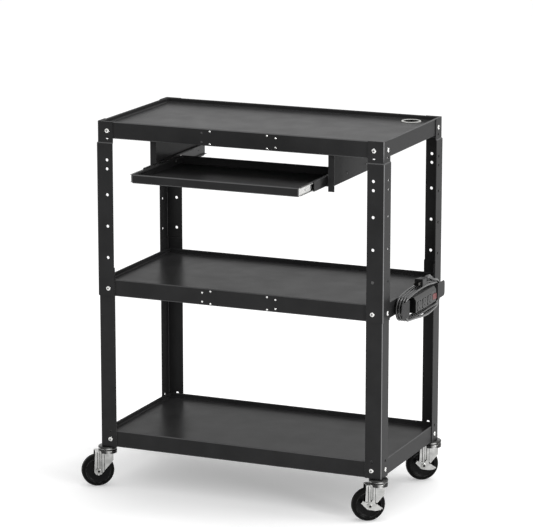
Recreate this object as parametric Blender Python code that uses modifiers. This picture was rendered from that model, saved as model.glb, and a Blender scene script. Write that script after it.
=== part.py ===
"""A steel utility cart: three folded shelves on nested corner angles, a pull-out keyboard tray
on three-section slides, four swivel casters and a power strip inside a cord winder.
The origin is on the floor, below the middle of the cart without its cord.
+X is the cart's right, -Y its front, where the tray pulls out, +Z up. Metres."""

import math

import bmesh
import bpy
from mathutils import Matrix, Vector

# Clearances and sheet
SEAT_GAP = 0.0003
CUT_OVERRUN = 0.001
SHEET = 0.0012
SHEET_BEND = 0.0024
BEND_STEPS = 1
MERGE = 0.0001

# Shelves
APRON_HALF_X = 0.398
APRON_HALF_Y = 0.208
APRON_HEIGHT = 0.045
PAN_DEPTH = 0.012
HEM_WIDTH = 0.0062
RETURN_WIDTH = 0.012
TOP_RIM_Z = 0.989
MIDDLE_RIM_Z = 0.5685
BOTTOM_RIM_Z = 0.1558
BOLT_BELOW_RIM = 0.0245

# Legs
LEG_SHEET = 0.002
LEG_BEND = 0.004
LEG_BEND_STEPS = 2
UPPER_LEG_WIDTH = 0.0465
LOWER_LEG_WIDTH = 0.0455
LEG_LAP = 0.032
JOGGLE_BELOW_RIM = 0.055
JOGGLE_LENGTH = 0.004
HOLE_FROM_CORNER = 0.030
LEG_HOLE_RADIUS = 0.004
LEG_HOLE_SIDES = 6
UPPER_LEG_HOLES_BELOW_RIM = (0.0455, 0.1015, 0.125, 0.194, 0.278, 0.362)
LOWER_LEG_HOLE_BELOW_RIM = 0.0008

# Bolts with their nuts, each carried by the leg that it fastens
BOLT_RADIUS = 0.003
BOLT_HEAD_RADIUS = 0.0062
BOLT_HEAD_HEIGHT = 0.0033
BOLT_HEAD_FLAT_SHARE = 0.55
BOLT_SIDES = 6
NUT_RADIUS = 0.0056
NUT_HEIGHT = 0.005

# Stiffening channels under the top and middle shelf
CHANNEL_X = 0.092
CHANNEL_WIDTH = 0.050
CHANNEL_CROWN = 0.026
CHANNEL_DEPTH = 0.022

# Cable grommet in the top pan
GROMMET_INSET_X = 0.069
GROMMET_INSET_Y = 0.038
GROMMET_FLANGE_RADIUS = 0.0275
GROMMET_RADIUS = 0.0235
GROMMET_BORE = 0.021
GROMMET_FLANGE = 0.002
GROMMET_BELOW = 0.008
GROMMET_SIDES = 24

# Casters
CASTER_INSET = 0.010
CASTER_YAW = math.radians(34.5)
TRAIL = 0.027
WHEEL_RADIUS = 0.044
WHEEL_WIDTH = 0.025
WHEEL_SIDES = 20
TYRE_INNER_RADIUS = 0.0345
TYRE_SHOULDER = 0.006
TYRE_SHOULDER_DROP = 0.0025
CORE_FACE_STEP = 0.002
CORE_HUB_RADIUS = 0.012
CORE_BORE = 0.0046
FORK_SIDE_GAP = 0.0015
FORK_SHEET = 0.0025
FORK_BACK = 0.0385
FORK_FRONT = 0.0135
FORK_BACK_TOP_SET = 0.003
FORK_TIP_RADIUS = 0.0115
FORK_TIP_STEPS = 6
FORK_PANEL_DROP = 0.028
FORK_CROWN_RADIUS = 0.0255
FORK_CROWN_HEIGHT = 0.009
FORK_CROWN_DOME = 0.003
FORK_CROWN_SIDES = 14
PLEAT_COUNT = 2
PLEAT_PITCH = 0.012
PLEAT_DEPTH = 0.0015
PLEAT_FOOT_SHARE = 0.36
PLEAT_TOP_SHARE = 0.2
RACE_HEIGHT = 0.0095
RACE_RADIUS = 0.026
RACE_NECK_RADIUS = 0.023
RUNNING_GAP = 0.0004
KINGPIN_RADIUS = 0.006
KINGPIN_HEAD_RADIUS = 0.009
KINGPIN_HEAD = 0.003
KINGPIN_SIDES = 10
STEM_RADIUS = 0.004
STEM_RISE = 0.013
AXLE_RADIUS = 0.004
AXLE_HEAD_RADIUS = 0.008
AXLE_HEAD_HEIGHT = 0.004
AXLE_NUT_HEIGHT = 0.005
AXLE_SIDES = 8
CASTER_NUT_RADIUS = 0.0076
CASTER_NUT_HEIGHT = 0.0065
CORNER_PLATE = 0.003
CORNER_PLATE_SIDE = 0.044
CORNER_PLATE_CUT_SHARE = 0.5

# Brake pedals: an outline about the axle, as shares of the reach to the toe
PEDAL_REACH = 0.031
PEDAL_SHEET = 0.002
PEDAL_PAD = 0.009
PEDAL_OUTLINE_SHARES = (
    (-0.74, 0.30), (-0.62, 0.47), (-0.30, 0.30), (0.10, 0.30), (0.26, 0.50), (0.40, 0.44),
    (0.56, 0.06), (1.0, -0.24), (0.94, -0.38), (0.52, -0.44), (-0.04, -0.34), (-0.46, -0.04),
)
PEDAL_TOE_PAD_SHARES = ((0.50, 0.16), (0.56, 0.06), (1.0, -0.24), (1.04, -0.16), (0.64, 0.12), (0.56, 0.22))
PEDAL_HEEL_PAD_SHARES = ((-0.74, 0.30), (-0.62, 0.47), (-0.67, 0.51), (-0.81, 0.33))

# Keyboard tray
TRAY_WIDTH = 0.462
TRAY_DEPTH = 0.300
TRAY_HEIGHT = 0.023
TRAY_BELOW_RIM = 0.127
TRAY_HEM = 0.007
TRAY_HEM_DROP = 0.004
TRAY_SETBACK = 0.018
TRAY_SHOWN_OUT = 0.167

# Slides, from the tray outward: inner, middle and outer member
SLIDE_SHEET = 0.0012
SLIDE_INNER_HEIGHT = 0.0205
SLIDE_RACE = 0.0018
SLIDE_OUTER_SHEET = 0.0014
SLIDE_INNER_LIP = 0.0035
SLIDE_MIDDLE_LIP = 0.0042
SLIDE_OUTER_LIP = 0.0054
SLIDE_WEB_GAP = 0.0045
SLIDE_OUTER_WEB_GAP = 0.0014
SLIDE_ABOVE_FLOOR = 0.0125

# Tray hangers
HANGER_SHEET = 0.0015
HANGER_BELOW_FLOOR = 0.007
HANGER_FRONT_FLANGE = 0.0155
HANGER_TOP_FLANGE = 0.018
HANGER_FOOT = 0.008
HANGER_SCREW_SHARES = (0.12, 0.42, 0.87)
HANGER_STUD_SHARES = (0.12, 0.5, 0.88)
SCREW_RADIUS = 0.002
SCREW_HEAD_RADIUS = 0.004
SCREW_HEAD_HEIGHT = 0.0022
SCREW_SIDES = 6
TRAY_SCREW_SHARES = (0.12, 0.88)
STUD_NUT_HEIGHT = 0.004
STUD_NUT_RADIUS = 0.005

# Cord winder bracket on the right of the middle shelf
WINDER_SHEET = 0.0015
WINDER_BELOW_RIM = 0.0255
WINDER_ARM_Y = 0.1068
WINDER_ARM_HEIGHT = 0.036
WINDER_EAR_X = 0.0337
WINDER_EAR_REACH = 0.050
WINDER_EAR_HEIGHT = 0.042
WINDER_EAR_RADIUS = 0.009
WINDER_EAR_STEPS = 3
WINDER_SCREW_Y = 0.088
WINDER_NOTCH_CLEARANCE = 0.0012

# Power strip housing, outlets and switch
HOUSING_HALF_LENGTH = 0.075
HOUSING_WIDTH = 0.039
HOUSING_HEIGHT = 0.0415
HOUSING_BELOW_WINDER = 0.020
HOUSING_CHAMFER_OUT = 0.0055
HOUSING_CHAMFER_DOWN = 0.009
HOUSING_EDGE = 0.0025
HOUSING_END_EDGE = 0.0015
POCKET_DEPTH = 0.005
OUTLET_FIRST_Y = -0.052
OUTLET_PITCH = 0.038
OUTLET_COUNT = 3
OUTLET_LENGTH = 0.027
OUTLET_HEIGHT = 0.024
OUTLET_PROUD = 0.0008
OUTLET_CORNER = 0.006
OUTLET_Z_DROP = 0.006
SLOT_SPACING = 0.0127
SLOT_LENGTH = 0.0075
SLOT_WIDTH = 0.002
SLOT_DEPTH = 0.0035
SLOT_RISE = 0.003
EARTH_RADIUS = 0.0024
EARTH_DROP = 0.006
EARTH_SIDES = 8
SWITCH_Y = 0.061
SWITCH_LENGTH = 0.020
SWITCH_HEIGHT = 0.015
SWITCH_PROUD = 0.0022
SWITCH_VALLEY = 0.0012
SWITCH_TILT = math.radians(7)
SWITCH_PIN_SETBACK = 0.001
SWITCH_POCKET_GAP = 0.0006
SWITCH_POCKET_DEPTH = 0.0062
SWITCH_BODY_DEPTH = 0.0034

# Cord: 2.44 m wound in four turns side by side, then the plug laid on top
CORD_RADIUS = 0.0034
CORD_TURNS = 4
CORD_PITCH = 0.0075
CORD_FIRST_OUT = 0.0067
CORD_EXIT_OUT = 0.0070
CORD_END_Y = 0.095
CORD_END_RADIUS = 0.0295
CORD_RUN_RISE = 0.0065
CORD_CENTRE_DROP = 0.0044
CORD_EXIT_DROP = 0.0145
CORD_LEAD_Y = 0.107
CORD_LEAD_TOP = 0.039
CORD_DIP = 0.008
CORD_TAIL_SHIFT = 0.0065
CORD_ARC_POINTS = 9
CORD_RUN_POINTS = 3
RELIEF_BASE_RADIUS = 0.0048
RELIEF_TIP_RADIUS = 0.0042
RELIEF_FLANGE = 0.003
RELIEF_SIDES = 10
PLUG_WIDTH = 0.024
PLUG_THICK = 0.020
PLUG_LENGTH = 0.038
PLUG_NECK_RADIUS = 0.0062
PLUG_NECK_LENGTH = 0.020
PLUG_NECK_TAPER_SHARE = 0.75
PLUG_FRONT_Y = -0.008
BLADE_LENGTH = 0.017
BLADE_HEIGHT = 0.0065
BLADE_THICK = 0.0015
PLUG_EDGE = 0.003

# Colours: base colour, roughness and how metallic
POWDER_COAT = ((0.028, 0.028, 0.030), 0.42, 0.0)
ZINC = ((0.62, 0.62, 0.60), 0.32, 1.0)
DARK_STEEL = ((0.05, 0.05, 0.052), 0.35, 0.6)
RUBBER = ((0.016, 0.016, 0.017), 0.6, 0.0)
NYLON = ((0.024, 0.024, 0.026), 0.45, 0.0)
LIGHT_PLASTIC = ((0.55, 0.55, 0.53), 0.4, 0.0)
GREY_PLASTIC = ((0.16, 0.16, 0.16), 0.4, 0.0)
DARK_PLASTIC = ((0.07, 0.07, 0.07), 0.4, 0.0)
RED_PLASTIC = ((0.60, 0.05, 0.06), 0.3, 0.0)
CORD_PLASTIC = ((0.02, 0.02, 0.021), 0.5, 0.0)


# Places that follow from the sizes above
LEG_OUT = SEAT_GAP + LEG_SHEET
UPPER_OUT = LEG_OUT + SEAT_GAP + LEG_SHEET
JOGGLE = UPPER_OUT - LEG_OUT
SHELF_RIMS = {"top_shelf": TOP_RIM_Z, "middle_shelf": MIDDLE_RIM_Z, "bottom_shelf": BOTTOM_RIM_Z}
SHELF_BOTTOM_Z = BOTTOM_RIM_Z - APRON_HEIGHT
CORNERS = {
    "front_right": (1, -1, 0.0),
    "back_right": (1, 1, math.pi / 2),
    "back_left": (-1, 1, math.pi),
    "front_left": (-1, -1, -math.pi / 2),
}
BRAKED = ("front_right", "back_right")
CASTER_X = APRON_HALF_X - CASTER_INSET
CASTER_Y = APRON_HALF_Y - CASTER_INSET
RACE_TOP_Z = SHELF_BOTTOM_Z - SEAT_GAP
CROWN_TOP_Z = RACE_TOP_Z - RACE_HEIGHT - RUNNING_GAP
FORK_INSIDE = WHEEL_WIDTH / 2 + FORK_SIDE_GAP
FORK_OUTSIDE = FORK_INSIDE + FORK_SHEET
GROMMET_X = APRON_HALF_X - GROMMET_INSET_X
GROMMET_Y = APRON_HALF_Y - GROMMET_INSET_Y
TRAY_FLOOR_Z = TOP_RIM_Z - TRAY_BELOW_RIM
TRAY_CLOSED_FRONT_Y = TRAY_SETBACK - APRON_HALF_Y
SLIDE_Z = TRAY_FLOOR_Z + SLIDE_ABOVE_FLOOR
HANGER_BOTTOM_Z = TRAY_FLOOR_Z - HANGER_BELOW_FLOOR
WINDER_Z = MIDDLE_RIM_Z - WINDER_BELOW_RIM
TRAY_SIDE_X = TRAY_WIDTH / 2
SLIDE_INNER_X = TRAY_SIDE_X + SEAT_GAP
SLIDE_MIDDLE_X = SLIDE_INNER_X + SLIDE_SHEET + SLIDE_WEB_GAP
SLIDE_OUTER_X = SLIDE_MIDDLE_X + SLIDE_SHEET + SLIDE_OUTER_WEB_GAP
SLIDE_MIDDLE_HEIGHT = SLIDE_INNER_HEIGHT + 2 * (RUNNING_GAP + SLIDE_RACE)
SLIDE_OUTER_HEIGHT = SLIDE_MIDDLE_HEIGHT + 2 * (RUNNING_GAP + SLIDE_OUTER_SHEET)
HANGER_X = SLIDE_OUTER_X + SLIDE_SHEET + SEAT_GAP
HANGER_TOP_Z = TOP_RIM_Z - PAN_DEPTH - SHEET - SEAT_GAP
TRAY_BACK_CLOSED_Y = TRAY_CLOSED_FRONT_Y + TRAY_DEPTH
WINDER_BASE_X = APRON_HALF_X + SEAT_GAP
WINDER_FACE_X = WINDER_BASE_X + WINDER_SHEET
HOUSING_X = WINDER_FACE_X + SEAT_GAP
HOUSING_FACE_X = HOUSING_X + HOUSING_WIDTH
HOUSING_BOTTOM_Z = WINDER_Z - HOUSING_BELOW_WINDER
CORD_X = APRON_HALF_X + CORD_FIRST_OUT
CORD_CENTRE_Z = WINDER_Z - CORD_CENTRE_DROP
CORD_EXIT_X = APRON_HALF_X + CORD_EXIT_OUT
CORD_EXIT_Z = WINDER_Z - CORD_EXIT_DROP
WHEEL_REACH = ((TRAIL + WHEEL_RADIUS) * math.cos(CASTER_YAW)
               + (WHEEL_WIDTH / 2 - TYRE_SHOULDER) * math.sin(CASTER_YAW))
BRAKE_PROUD = SEAT_GAP + PEDAL_SHEET
CORD_TOP_Z = CORD_CENTRE_Z + CORD_END_RADIUS + CORD_RUN_RISE
PLUG_X = CORD_X + CORD_PITCH * (CORD_TURNS - 1) - CORD_TAIL_SHIFT
PLUG_Z = CORD_TOP_Z + CORD_RADIUS + SEAT_GAP + PLUG_THICK / 2
MIDDLE_BOTTOM_Z = MIDDLE_RIM_Z - APRON_HEIGHT

# The origin: on the floor, below the middle of the cart without its cord
MIDDLE_X = (HOUSING_FACE_X + SWITCH_PROUD - CASTER_X - WHEEL_REACH) / 2
MIDDLE_Y = (CASTER_Y + RACE_RADIUS + TRAY_CLOSED_FRONT_Y - TRAY_SHOWN_OUT) / 2


# The scene and its collections
for old in list(bpy.data.objects):
    bpy.data.objects.remove(old)
parts = bpy.data.collections.new("Utility cart")
cutters = bpy.data.collections.new("Cutters")
for group in (parts, cutters):
    bpy.context.scene.collection.children.link(group)
cart = bpy.data.objects.new("cart_centre", None)
cart.location = (-MIDDLE_X, -MIDDLE_Y, 0)
parts.objects.link(cart)


def material(name, look):
    """A Principled material, made once for each name."""
    if name in bpy.data.materials:
        return bpy.data.materials[name]
    made = bpy.data.materials.new(name)
    made.use_nodes = True
    shader = made.node_tree.nodes["Principled BSDF"]
    colour, roughness, metallic = look
    shader.inputs["Base Color"].default_value = (*colour, 1)
    shader.inputs["Roughness"].default_value = roughness
    shader.inputs["Metallic"].default_value = metallic
    return made


def put(name, data, look, at=(0, 0, 0), turn=0.0, parent=cart):
    """Adds a named sub-part with its own material."""
    obj = bpy.data.objects.new(name, data)
    parts.objects.link(obj)
    obj.parent = parent
    obj.location = at
    obj.rotation_euler = (0, 0, turn)
    paint = material(name, look)
    if data.materials:
        obj.material_slots[0].link = "OBJECT"
        obj.material_slots[0].material = paint
    else:
        data.materials.append(paint)
    return obj


def empty(name, at, turn=0.0, parent=cart):
    """An empty on a joint's axis."""
    obj = bpy.data.objects.new(name, None)
    obj.location = at
    obj.rotation_euler = (0, 0, turn)
    obj.parent = parent
    parts.objects.link(obj)
    return obj


def to_mesh(bm, name, smooth_angle=None):
    """Turns a bmesh into mesh data, smooth below the angle if one is given."""
    data = bpy.data.meshes.new(name)
    bm.to_mesh(data)
    bm.free()
    if smooth_angle is not None:
        data.shade_smooth()
        data.set_sharp_from_angle(angle=smooth_angle)
    return data


ROUND = math.radians(40)


def baked(obj):
    """The evaluated mesh of a helper object, which is removed."""
    graph = bpy.context.evaluated_depsgraph_get()
    data = bpy.data.meshes.new_from_object(obj.evaluated_get(graph))
    bpy.data.objects.remove(obj)
    bm = bmesh.new()
    bm.from_mesh(data)
    bmesh.ops.remove_doubles(bm, verts=bm.verts, dist=MERGE / 10)
    bm.to_mesh(data)
    bm.free()
    return data


def box_mesh(low, high):
    """A box between two corners."""
    bm = bmesh.new()
    size = Vector(high) - Vector(low)
    centre = (Vector(high) + Vector(low)) / 2
    place = Matrix.Translation(centre) @ Matrix.Diagonal((*size, 1))
    bmesh.ops.create_cube(bm, size=1, matrix=place)
    return to_mesh(bm, "box")


def rod_mesh(radius, start, end, sides):
    """A straight cylinder between two points."""
    bm = bmesh.new()
    run = Vector(end) - Vector(start)
    turn = Vector((0, 0, 1)).rotation_difference(run).to_matrix().to_4x4()
    place = Matrix.Translation((Vector(start) + Vector(end)) / 2) @ turn
    bmesh.ops.create_cone(bm, cap_ends=True, segments=sides, radius1=radius, radius2=radius,
                          depth=run.length, matrix=place)
    return to_mesh(bm, "rod")


def turned_mesh(profile, sides):
    """A profile of (radius, height), top to bottom, turned about Z by a Screw modifier."""
    bm = bmesh.new()
    points = [bm.verts.new((radius, 0, height)) for radius, height in profile]
    for first, second in zip(points, points[1:]):
        bm.edges.new((first, second))
    helper = bpy.data.objects.new("turned", to_mesh(bm, "profile"))
    parts.objects.link(helper)
    screw = helper.modifiers.new("Turn", "SCREW")
    screw.steps = screw.render_steps = sides
    screw.use_merge_vertices = True
    screw.merge_threshold = MERGE / 10
    data = baked(helper)
    data.shade_smooth()
    data.set_sharp_from_angle(angle=ROUND)
    return data


def outline_mesh(points, thickness):
    """A closed flat outline in XY, extruded evenly about z = 0."""
    curve = bpy.data.curves.new("outline", "CURVE")
    curve.dimensions = "2D"
    curve.fill_mode = "BOTH"
    curve.extrude = thickness / 2
    line = curve.splines.new("POLY")
    line.points.add(len(points) - 1)
    for point, (x, y) in zip(line.points, points):
        point.co = (x, y, 0, 1)
    line.use_cyclic_u = True
    helper = bpy.data.objects.new("outline", curve)
    parts.objects.link(helper)
    return baked(helper)


def moved(data, place):
    """A copy of a mesh, moved by a matrix and turned right side out again if it is mirrored."""
    copy = data.copy()
    copy.transform(place)
    if place.determinant() < 0:
        copy.flip_normals()
    return copy


def joined(meshes):
    """One mesh of several separate bodies, for a cutter or a pattern that a union joins."""
    bm = bmesh.new()
    for data in meshes:
        bm.from_mesh(data)
    data = to_mesh(bm, "joined")
    if any(part.polygons[0].use_smooth for part in meshes):
        data.shade_smooth()
        data.set_sharp_from_angle(angle=ROUND)
    return data


def combined(data, others, operation):
    """The Boolean of a mesh with each of the others in turn."""
    base = bpy.data.objects.new("base", data)
    parts.objects.link(base)
    tools = []
    for other in others:
        tool = bpy.data.objects.new("tool", other)
        cutters.objects.link(tool)
        tool.hide_render = True
        tool.display_type = "WIRE"
        tools.append(tool)
        step = base.modifiers.new("Combine", "BOOLEAN")
        step.operation = operation
        step.object = tool
    result = baked(base)
    for tool in tools:
        bpy.data.objects.remove(tool)
    return result


def axis_frame(origin, outward):
    """A matrix that stands a piece made along +Z on a face with this outward direction."""
    turn = Vector((0, 0, 1)).rotation_difference(Vector(outward)).to_matrix().to_4x4()
    return Matrix.Translation(origin) @ turn


def bore(radius, sides):
    """The corner radius of a hole with flat sides that clears a round shank."""
    return (radius + SEAT_GAP) / math.cos(math.pi / sides)


def fastener(head_radius, head_height, root, radius, length, sides, nut=None):
    """A low domed head rooted in its sheet at z = 0, a shank below and a nut of (radius, height)."""
    profile = [(0, head_height), (head_radius * BOLT_HEAD_FLAT_SHARE, head_height), (head_radius, 0),
               (head_radius, -root), (radius, -root), (radius, -length)]
    if nut:
        nut_radius, nut_height = nut
        profile += [(nut_radius, -length), (nut_radius, -length - nut_height)]
        length += nut_height
    profile.append((0, -length))
    return turned_mesh(profile, sides)


def cut(obj, data, name, operation="DIFFERENCE"):
    """Cuts an object by a mesh in the same frame, or joins the mesh to it, kept as a wire tool."""
    tool = bpy.data.objects.new(name, data)
    cutters.objects.link(tool)
    tool.parent = obj.parent
    tool.location = obj.location
    tool.rotation_euler = obj.rotation_euler
    tool.hide_render = True
    tool.display_type = "WIRE"
    step = obj.modifiers.new(operation.title(), "BOOLEAN")
    step.operation = operation
    step.object = tool


def folded(half_x, half_y, z, folds, facing):
    """A sheet skin: a rectangle whose edges are drawn through folds of (outward, upward)."""
    bm = bmesh.new()
    place = Matrix.Translation((0, 0, z)) @ Matrix.Diagonal((half_x, half_y, 1, 1))
    bmesh.ops.create_grid(bm, x_segments=1, y_segments=1, size=1, matrix=place)
    base = bm.faces[:][0]
    edges = bm.edges[:]
    for outward, upward in folds:
        grown = bmesh.ops.extrude_edge_only(bm, edges=edges)["geom"]
        corners = [item for item in grown if isinstance(item, bmesh.types.BMVert)]
        edges = [item for item in grown if isinstance(item, bmesh.types.BMEdge) and item.is_boundary]
        for corner in corners:
            corner.co.x += outward * math.copysign(1, corner.co.x)
            corner.co.y += outward * math.copysign(1, corner.co.y)
            corner.co.z += upward
    bmesh.ops.recalc_face_normals(bm, faces=bm.faces)
    if base.normal.z * facing < 0:
        bmesh.ops.reverse_faces(bm, faces=bm.faces)
    return to_mesh(bm, "folded")


def strip(points, low, high, axis="Z"):
    """A sheet skin: an open line in the plane across an axis, drawn along that axis."""
    bm = bmesh.new()
    levels = []
    for level in (low, high):
        row = []
        for first, second in points:
            at = {"Z": (first, second, level), "Y": (first, level, second)}[axis]
            row.append(bm.verts.new(at))
        levels.append(row)
    for index in range(len(points) - 1):
        bm.edges.new((levels[0][index], levels[0][index + 1]))
        bm.edges.new((levels[1][index], levels[1][index + 1]))
    bmesh.ops.bridge_loops(bm, edges=bm.edges[:])
    return to_mesh(bm, "strip")


def face_out(data, toward):
    """Turns a sheet skin over if the face that is squarest to this direction looks away from it."""
    squarest = max((face.normal.dot(Vector(toward)) for face in data.polygons), key=abs)
    if squarest < 0:
        data.flip_normals()
    return data


def bend_and_thicken(obj, thickness, radius, angle=ROUND, steps=BEND_STEPS):
    """Rounds a skin's folds and gives it its thickness, inward from the skin."""
    if radius:
        bevel = obj.modifiers.new("Bends", "BEVEL")
        bevel.width = radius
        bevel.segments = steps
        bevel.limit_method = "ANGLE"
        bevel.angle_limit = angle
    solid = obj.modifiers.new("Sheet", "SOLIDIFY")
    solid.thickness = thickness
    solid.offset = -1
    solid.use_even_offset = True


def sheet_mesh(data, thickness, radius, angle=ROUND, steps=BEND_STEPS):
    """A bent sheet as plain mesh data."""
    helper = bpy.data.objects.new("sheet", data)
    parts.objects.link(helper)
    bend_and_thicken(helper, thickness, radius, angle, steps)
    return baked(helper)


# Shelves
def bolt_places(rim):
    """Where the corner bolts of a shelf pass its apron: (place, outward)."""
    places = []
    z = rim - BOLT_BELOW_RIM
    x, y = APRON_HALF_X, APRON_HALF_Y
    side = HOLE_FROM_CORNER - UPPER_OUT
    for sx, sy, turn in CORNERS.values():
        places.append(((sx * x, sy * (APRON_HALF_Y - side), z), (sx, 0, 0)))
        places.append(((sx * (APRON_HALF_X - side), sy * y, z), (0, sy, 0)))
    return places


def along(place, outward, distance):
    """A point moved along a direction."""
    return Vector(place) + Vector(outward) * distance


def shelf(name, rim):
    """A pan with a folded hem, a deep apron and a return flange, drilled for its bolts."""
    inner_x, inner_y = APRON_HALF_X - HEM_WIDTH, APRON_HALF_Y - HEM_WIDTH
    folds = ((0, PAN_DEPTH), (HEM_WIDTH, 0), (0, -APRON_HEIGHT), (-RETURN_WIDTH, 0))
    obj = put(name, folded(inner_x, inner_y, rim - PAN_DEPTH, folds, 1), POWDER_COAT)
    bend_and_thicken(obj, SHEET, SHEET_BEND)
    holes = []
    for place, outward in bolt_places(rim):
        ends = along(place, outward, -2 * SHEET), along(place, outward, CUT_OVERRUN)
        holes.append(rod_mesh(bore(BOLT_RADIUS, BOLT_SIDES), *ends, BOLT_SIDES))
    if rim == TOP_RIM_Z:
        floor = rim - PAN_DEPTH
        ends = (GROMMET_X, GROMMET_Y, floor - PAN_DEPTH), (GROMMET_X, GROMMET_Y, rim)
        holes.append(rod_mesh(bore(GROMMET_RADIUS, GROMMET_SIDES), *ends, GROMMET_SIDES))
    if rim == MIDDLE_RIM_Z:
        for sy in (-1, 1):
            ends = (APRON_HALF_X - 2 * SHEET, sy * WINDER_SCREW_Y, WINDER_Z), (WINDER_FACE_X, sy * WINDER_SCREW_Y, WINDER_Z)
            holes.append(rod_mesh(bore(SCREW_RADIUS, SCREW_SIDES), *ends, SCREW_SIDES))
    if rim == BOTTOM_RIM_Z:
        for sx, sy, turn in CORNERS.values():
            x, y = sx * CASTER_X, sy * CASTER_Y
            ends = (x, y, SHELF_BOTTOM_Z - CUT_OVERRUN), (x, y, SHELF_BOTTOM_Z + RETURN_WIDTH)
            holes.append(rod_mesh(STEM_RADIUS + SHEET, *ends, AXLE_SIDES))
    cut(obj, joined(holes), name + "_holes")


for shelf_name, shelf_rim in SHELF_RIMS.items():
    shelf(shelf_name, shelf_rim)


# Stiffening channels, each a hat section between two end tabs
def channel_mesh(rim):
    top = rim - PAN_DEPTH - SHEET - SEAT_GAP
    tab_low = rim - APRON_HEIGHT + SHEET + SHEET_BEND
    reach = APRON_HALF_Y - SHEET - SEAT_GAP
    half, crown = CHANNEL_WIDTH / 2, CHANNEL_CROWN / 2
    low = top - CHANNEL_DEPTH
    line = ((-half, top), (-crown, top), (-crown, low), (crown, low), (crown, top), (half, top))
    inside = reach - SHEET / 2
    skin = face_out(strip(line, -inside, inside, "Y"), (0, 0, 1))
    hat = sheet_mesh(skin, SHEET, 0)
    tab = box_mesh((-half, reach - SHEET, tab_low), (half, reach, top + SEAT_GAP / 2))
    return combined(hat, [tab, moved(tab, Matrix.Rotation(math.pi, 4, "Z"))], "UNION")


for shelf_name in ("top_shelf", "middle_shelf"):
    channel_data = channel_mesh(SHELF_RIMS[shelf_name])
    for side, sx in (("left", -1), ("right", 1)):
        put(f"{shelf_name}_stiffener_{side}", channel_data, POWDER_COAT, (sx * CHANNEL_X, 0, 0))


# Legs
def angle_skin(width, rows):
    """The outer skin of a corner angle at the front right: rows of (height, inward shift)."""
    bm = bmesh.new()
    levels = []
    for z, shift in rows:
        line = ((-width, shift), (-shift, shift), (-shift, width))
        levels.append([bm.verts.new((x, y, z)) for x, y in line])
    for lower, upper in zip(levels, levels[1:]):
        for index in range(len(lower) - 1):
            bm.faces.new((lower[index], lower[index + 1], upper[index + 1], upper[index]))
    return to_mesh(bm, "angle")


def both_flanges(heights, radius, sides):
    """Cutters through both flanges of a leg at each height."""
    holes = []
    near, far, start = -UPPER_LEG_WIDTH / 2, CUT_OVERRUN, HOLE_FROM_CORNER
    for z in heights:
        holes.append(rod_mesh(radius, (-start, -far, z), (-start, -near, z), sides))
        holes.append(rod_mesh(radius, (near, start, z), (far, start, z), sides))
    return holes


def leg_bolts(z, sunk, stack):
    """The two bolts of a leg at one height: heads on the leg, nuts inside the apron."""
    grip = stack + SHEET + SEAT_GAP
    bolt = fastener(BOLT_HEAD_RADIUS, BOLT_HEAD_HEIGHT, LEG_SHEET / 2, BOLT_RADIUS, grip, BOLT_SIDES,
                    (NUT_RADIUS, NUT_HEIGHT))
    front = moved(bolt, axis_frame((-HOLE_FROM_CORNER, sunk, z), (0, -1, 0)))
    right = moved(bolt, axis_frame((-sunk, HOLE_FROM_CORNER, z), (1, 0, 0)))
    return [front, right]


def leg_set(kind, skin, out, holes, bolts):
    """Four equal legs, each turned to its corner, with their holes and bolts."""
    for corner, (sx, sy, turn) in CORNERS.items():
        at = (sx * (APRON_HALF_X + out), sy * (APRON_HALF_Y + out), 0)
        obj = put(f"{kind}_leg_{corner}", skin, POWDER_COAT, at, turn)
        bend_and_thicken(obj, LEG_SHEET, LEG_BEND, steps=LEG_BEND_STEPS)
        cut(obj, holes, f"{kind}_leg_{corner}_holes")
        cut(obj, bolts, f"{kind}_leg_{corner}_bolts", "UNION")


joggle_z = TOP_RIM_Z - JOGGLE_BELOW_RIM
upper_rows = ((MIDDLE_BOTTOM_Z, 0), (joggle_z - JOGGLE_LENGTH, 0), (joggle_z, JOGGLE), (TOP_RIM_Z, JOGGLE))
lower_rows = ((SHELF_BOTTOM_Z, 0), (MIDDLE_RIM_Z + LEG_LAP, 0))
bolt_hole = bore(BOLT_RADIUS, BOLT_SIDES)
top_bolt_z, middle_bolt_z, bottom_bolt_z = (rim - BOLT_BELOW_RIM for rim in SHELF_RIMS.values())
upper_heights = [TOP_RIM_Z - drop for drop in UPPER_LEG_HOLES_BELOW_RIM]
lower_heights = [BOTTOM_RIM_Z - LOWER_LEG_HOLE_BELOW_RIM]
upper_holes = joined(both_flanges(upper_heights, LEG_HOLE_RADIUS, LEG_HOLE_SIDES))
upper_bolts = joined(leg_bolts(top_bolt_z, JOGGLE, LEG_OUT) + leg_bolts(middle_bolt_z, 0, UPPER_OUT))
leg_set("upper", angle_skin(UPPER_LEG_WIDTH, upper_rows), UPPER_OUT, upper_holes, upper_bolts)
inward = Matrix.Translation((JOGGLE, -JOGGLE, 0))
lower_holes = both_flanges(lower_heights, LEG_HOLE_RADIUS, LEG_HOLE_SIDES)
lower_holes += both_flanges([middle_bolt_z], bolt_hole, BOLT_SIDES)
bottom_bolts = leg_bolts(bottom_bolt_z, 0, LEG_OUT)
bottom_bolts = [moved(bottom_bolts[0], Matrix.Translation((JOGGLE, 0, 0))),
                moved(bottom_bolts[1], Matrix.Translation((0, -JOGGLE, 0)))]
leg_set("lower", angle_skin(LOWER_LEG_WIDTH, lower_rows), LEG_OUT, moved(joined(lower_holes), inward),
        joined(bottom_bolts))


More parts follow.
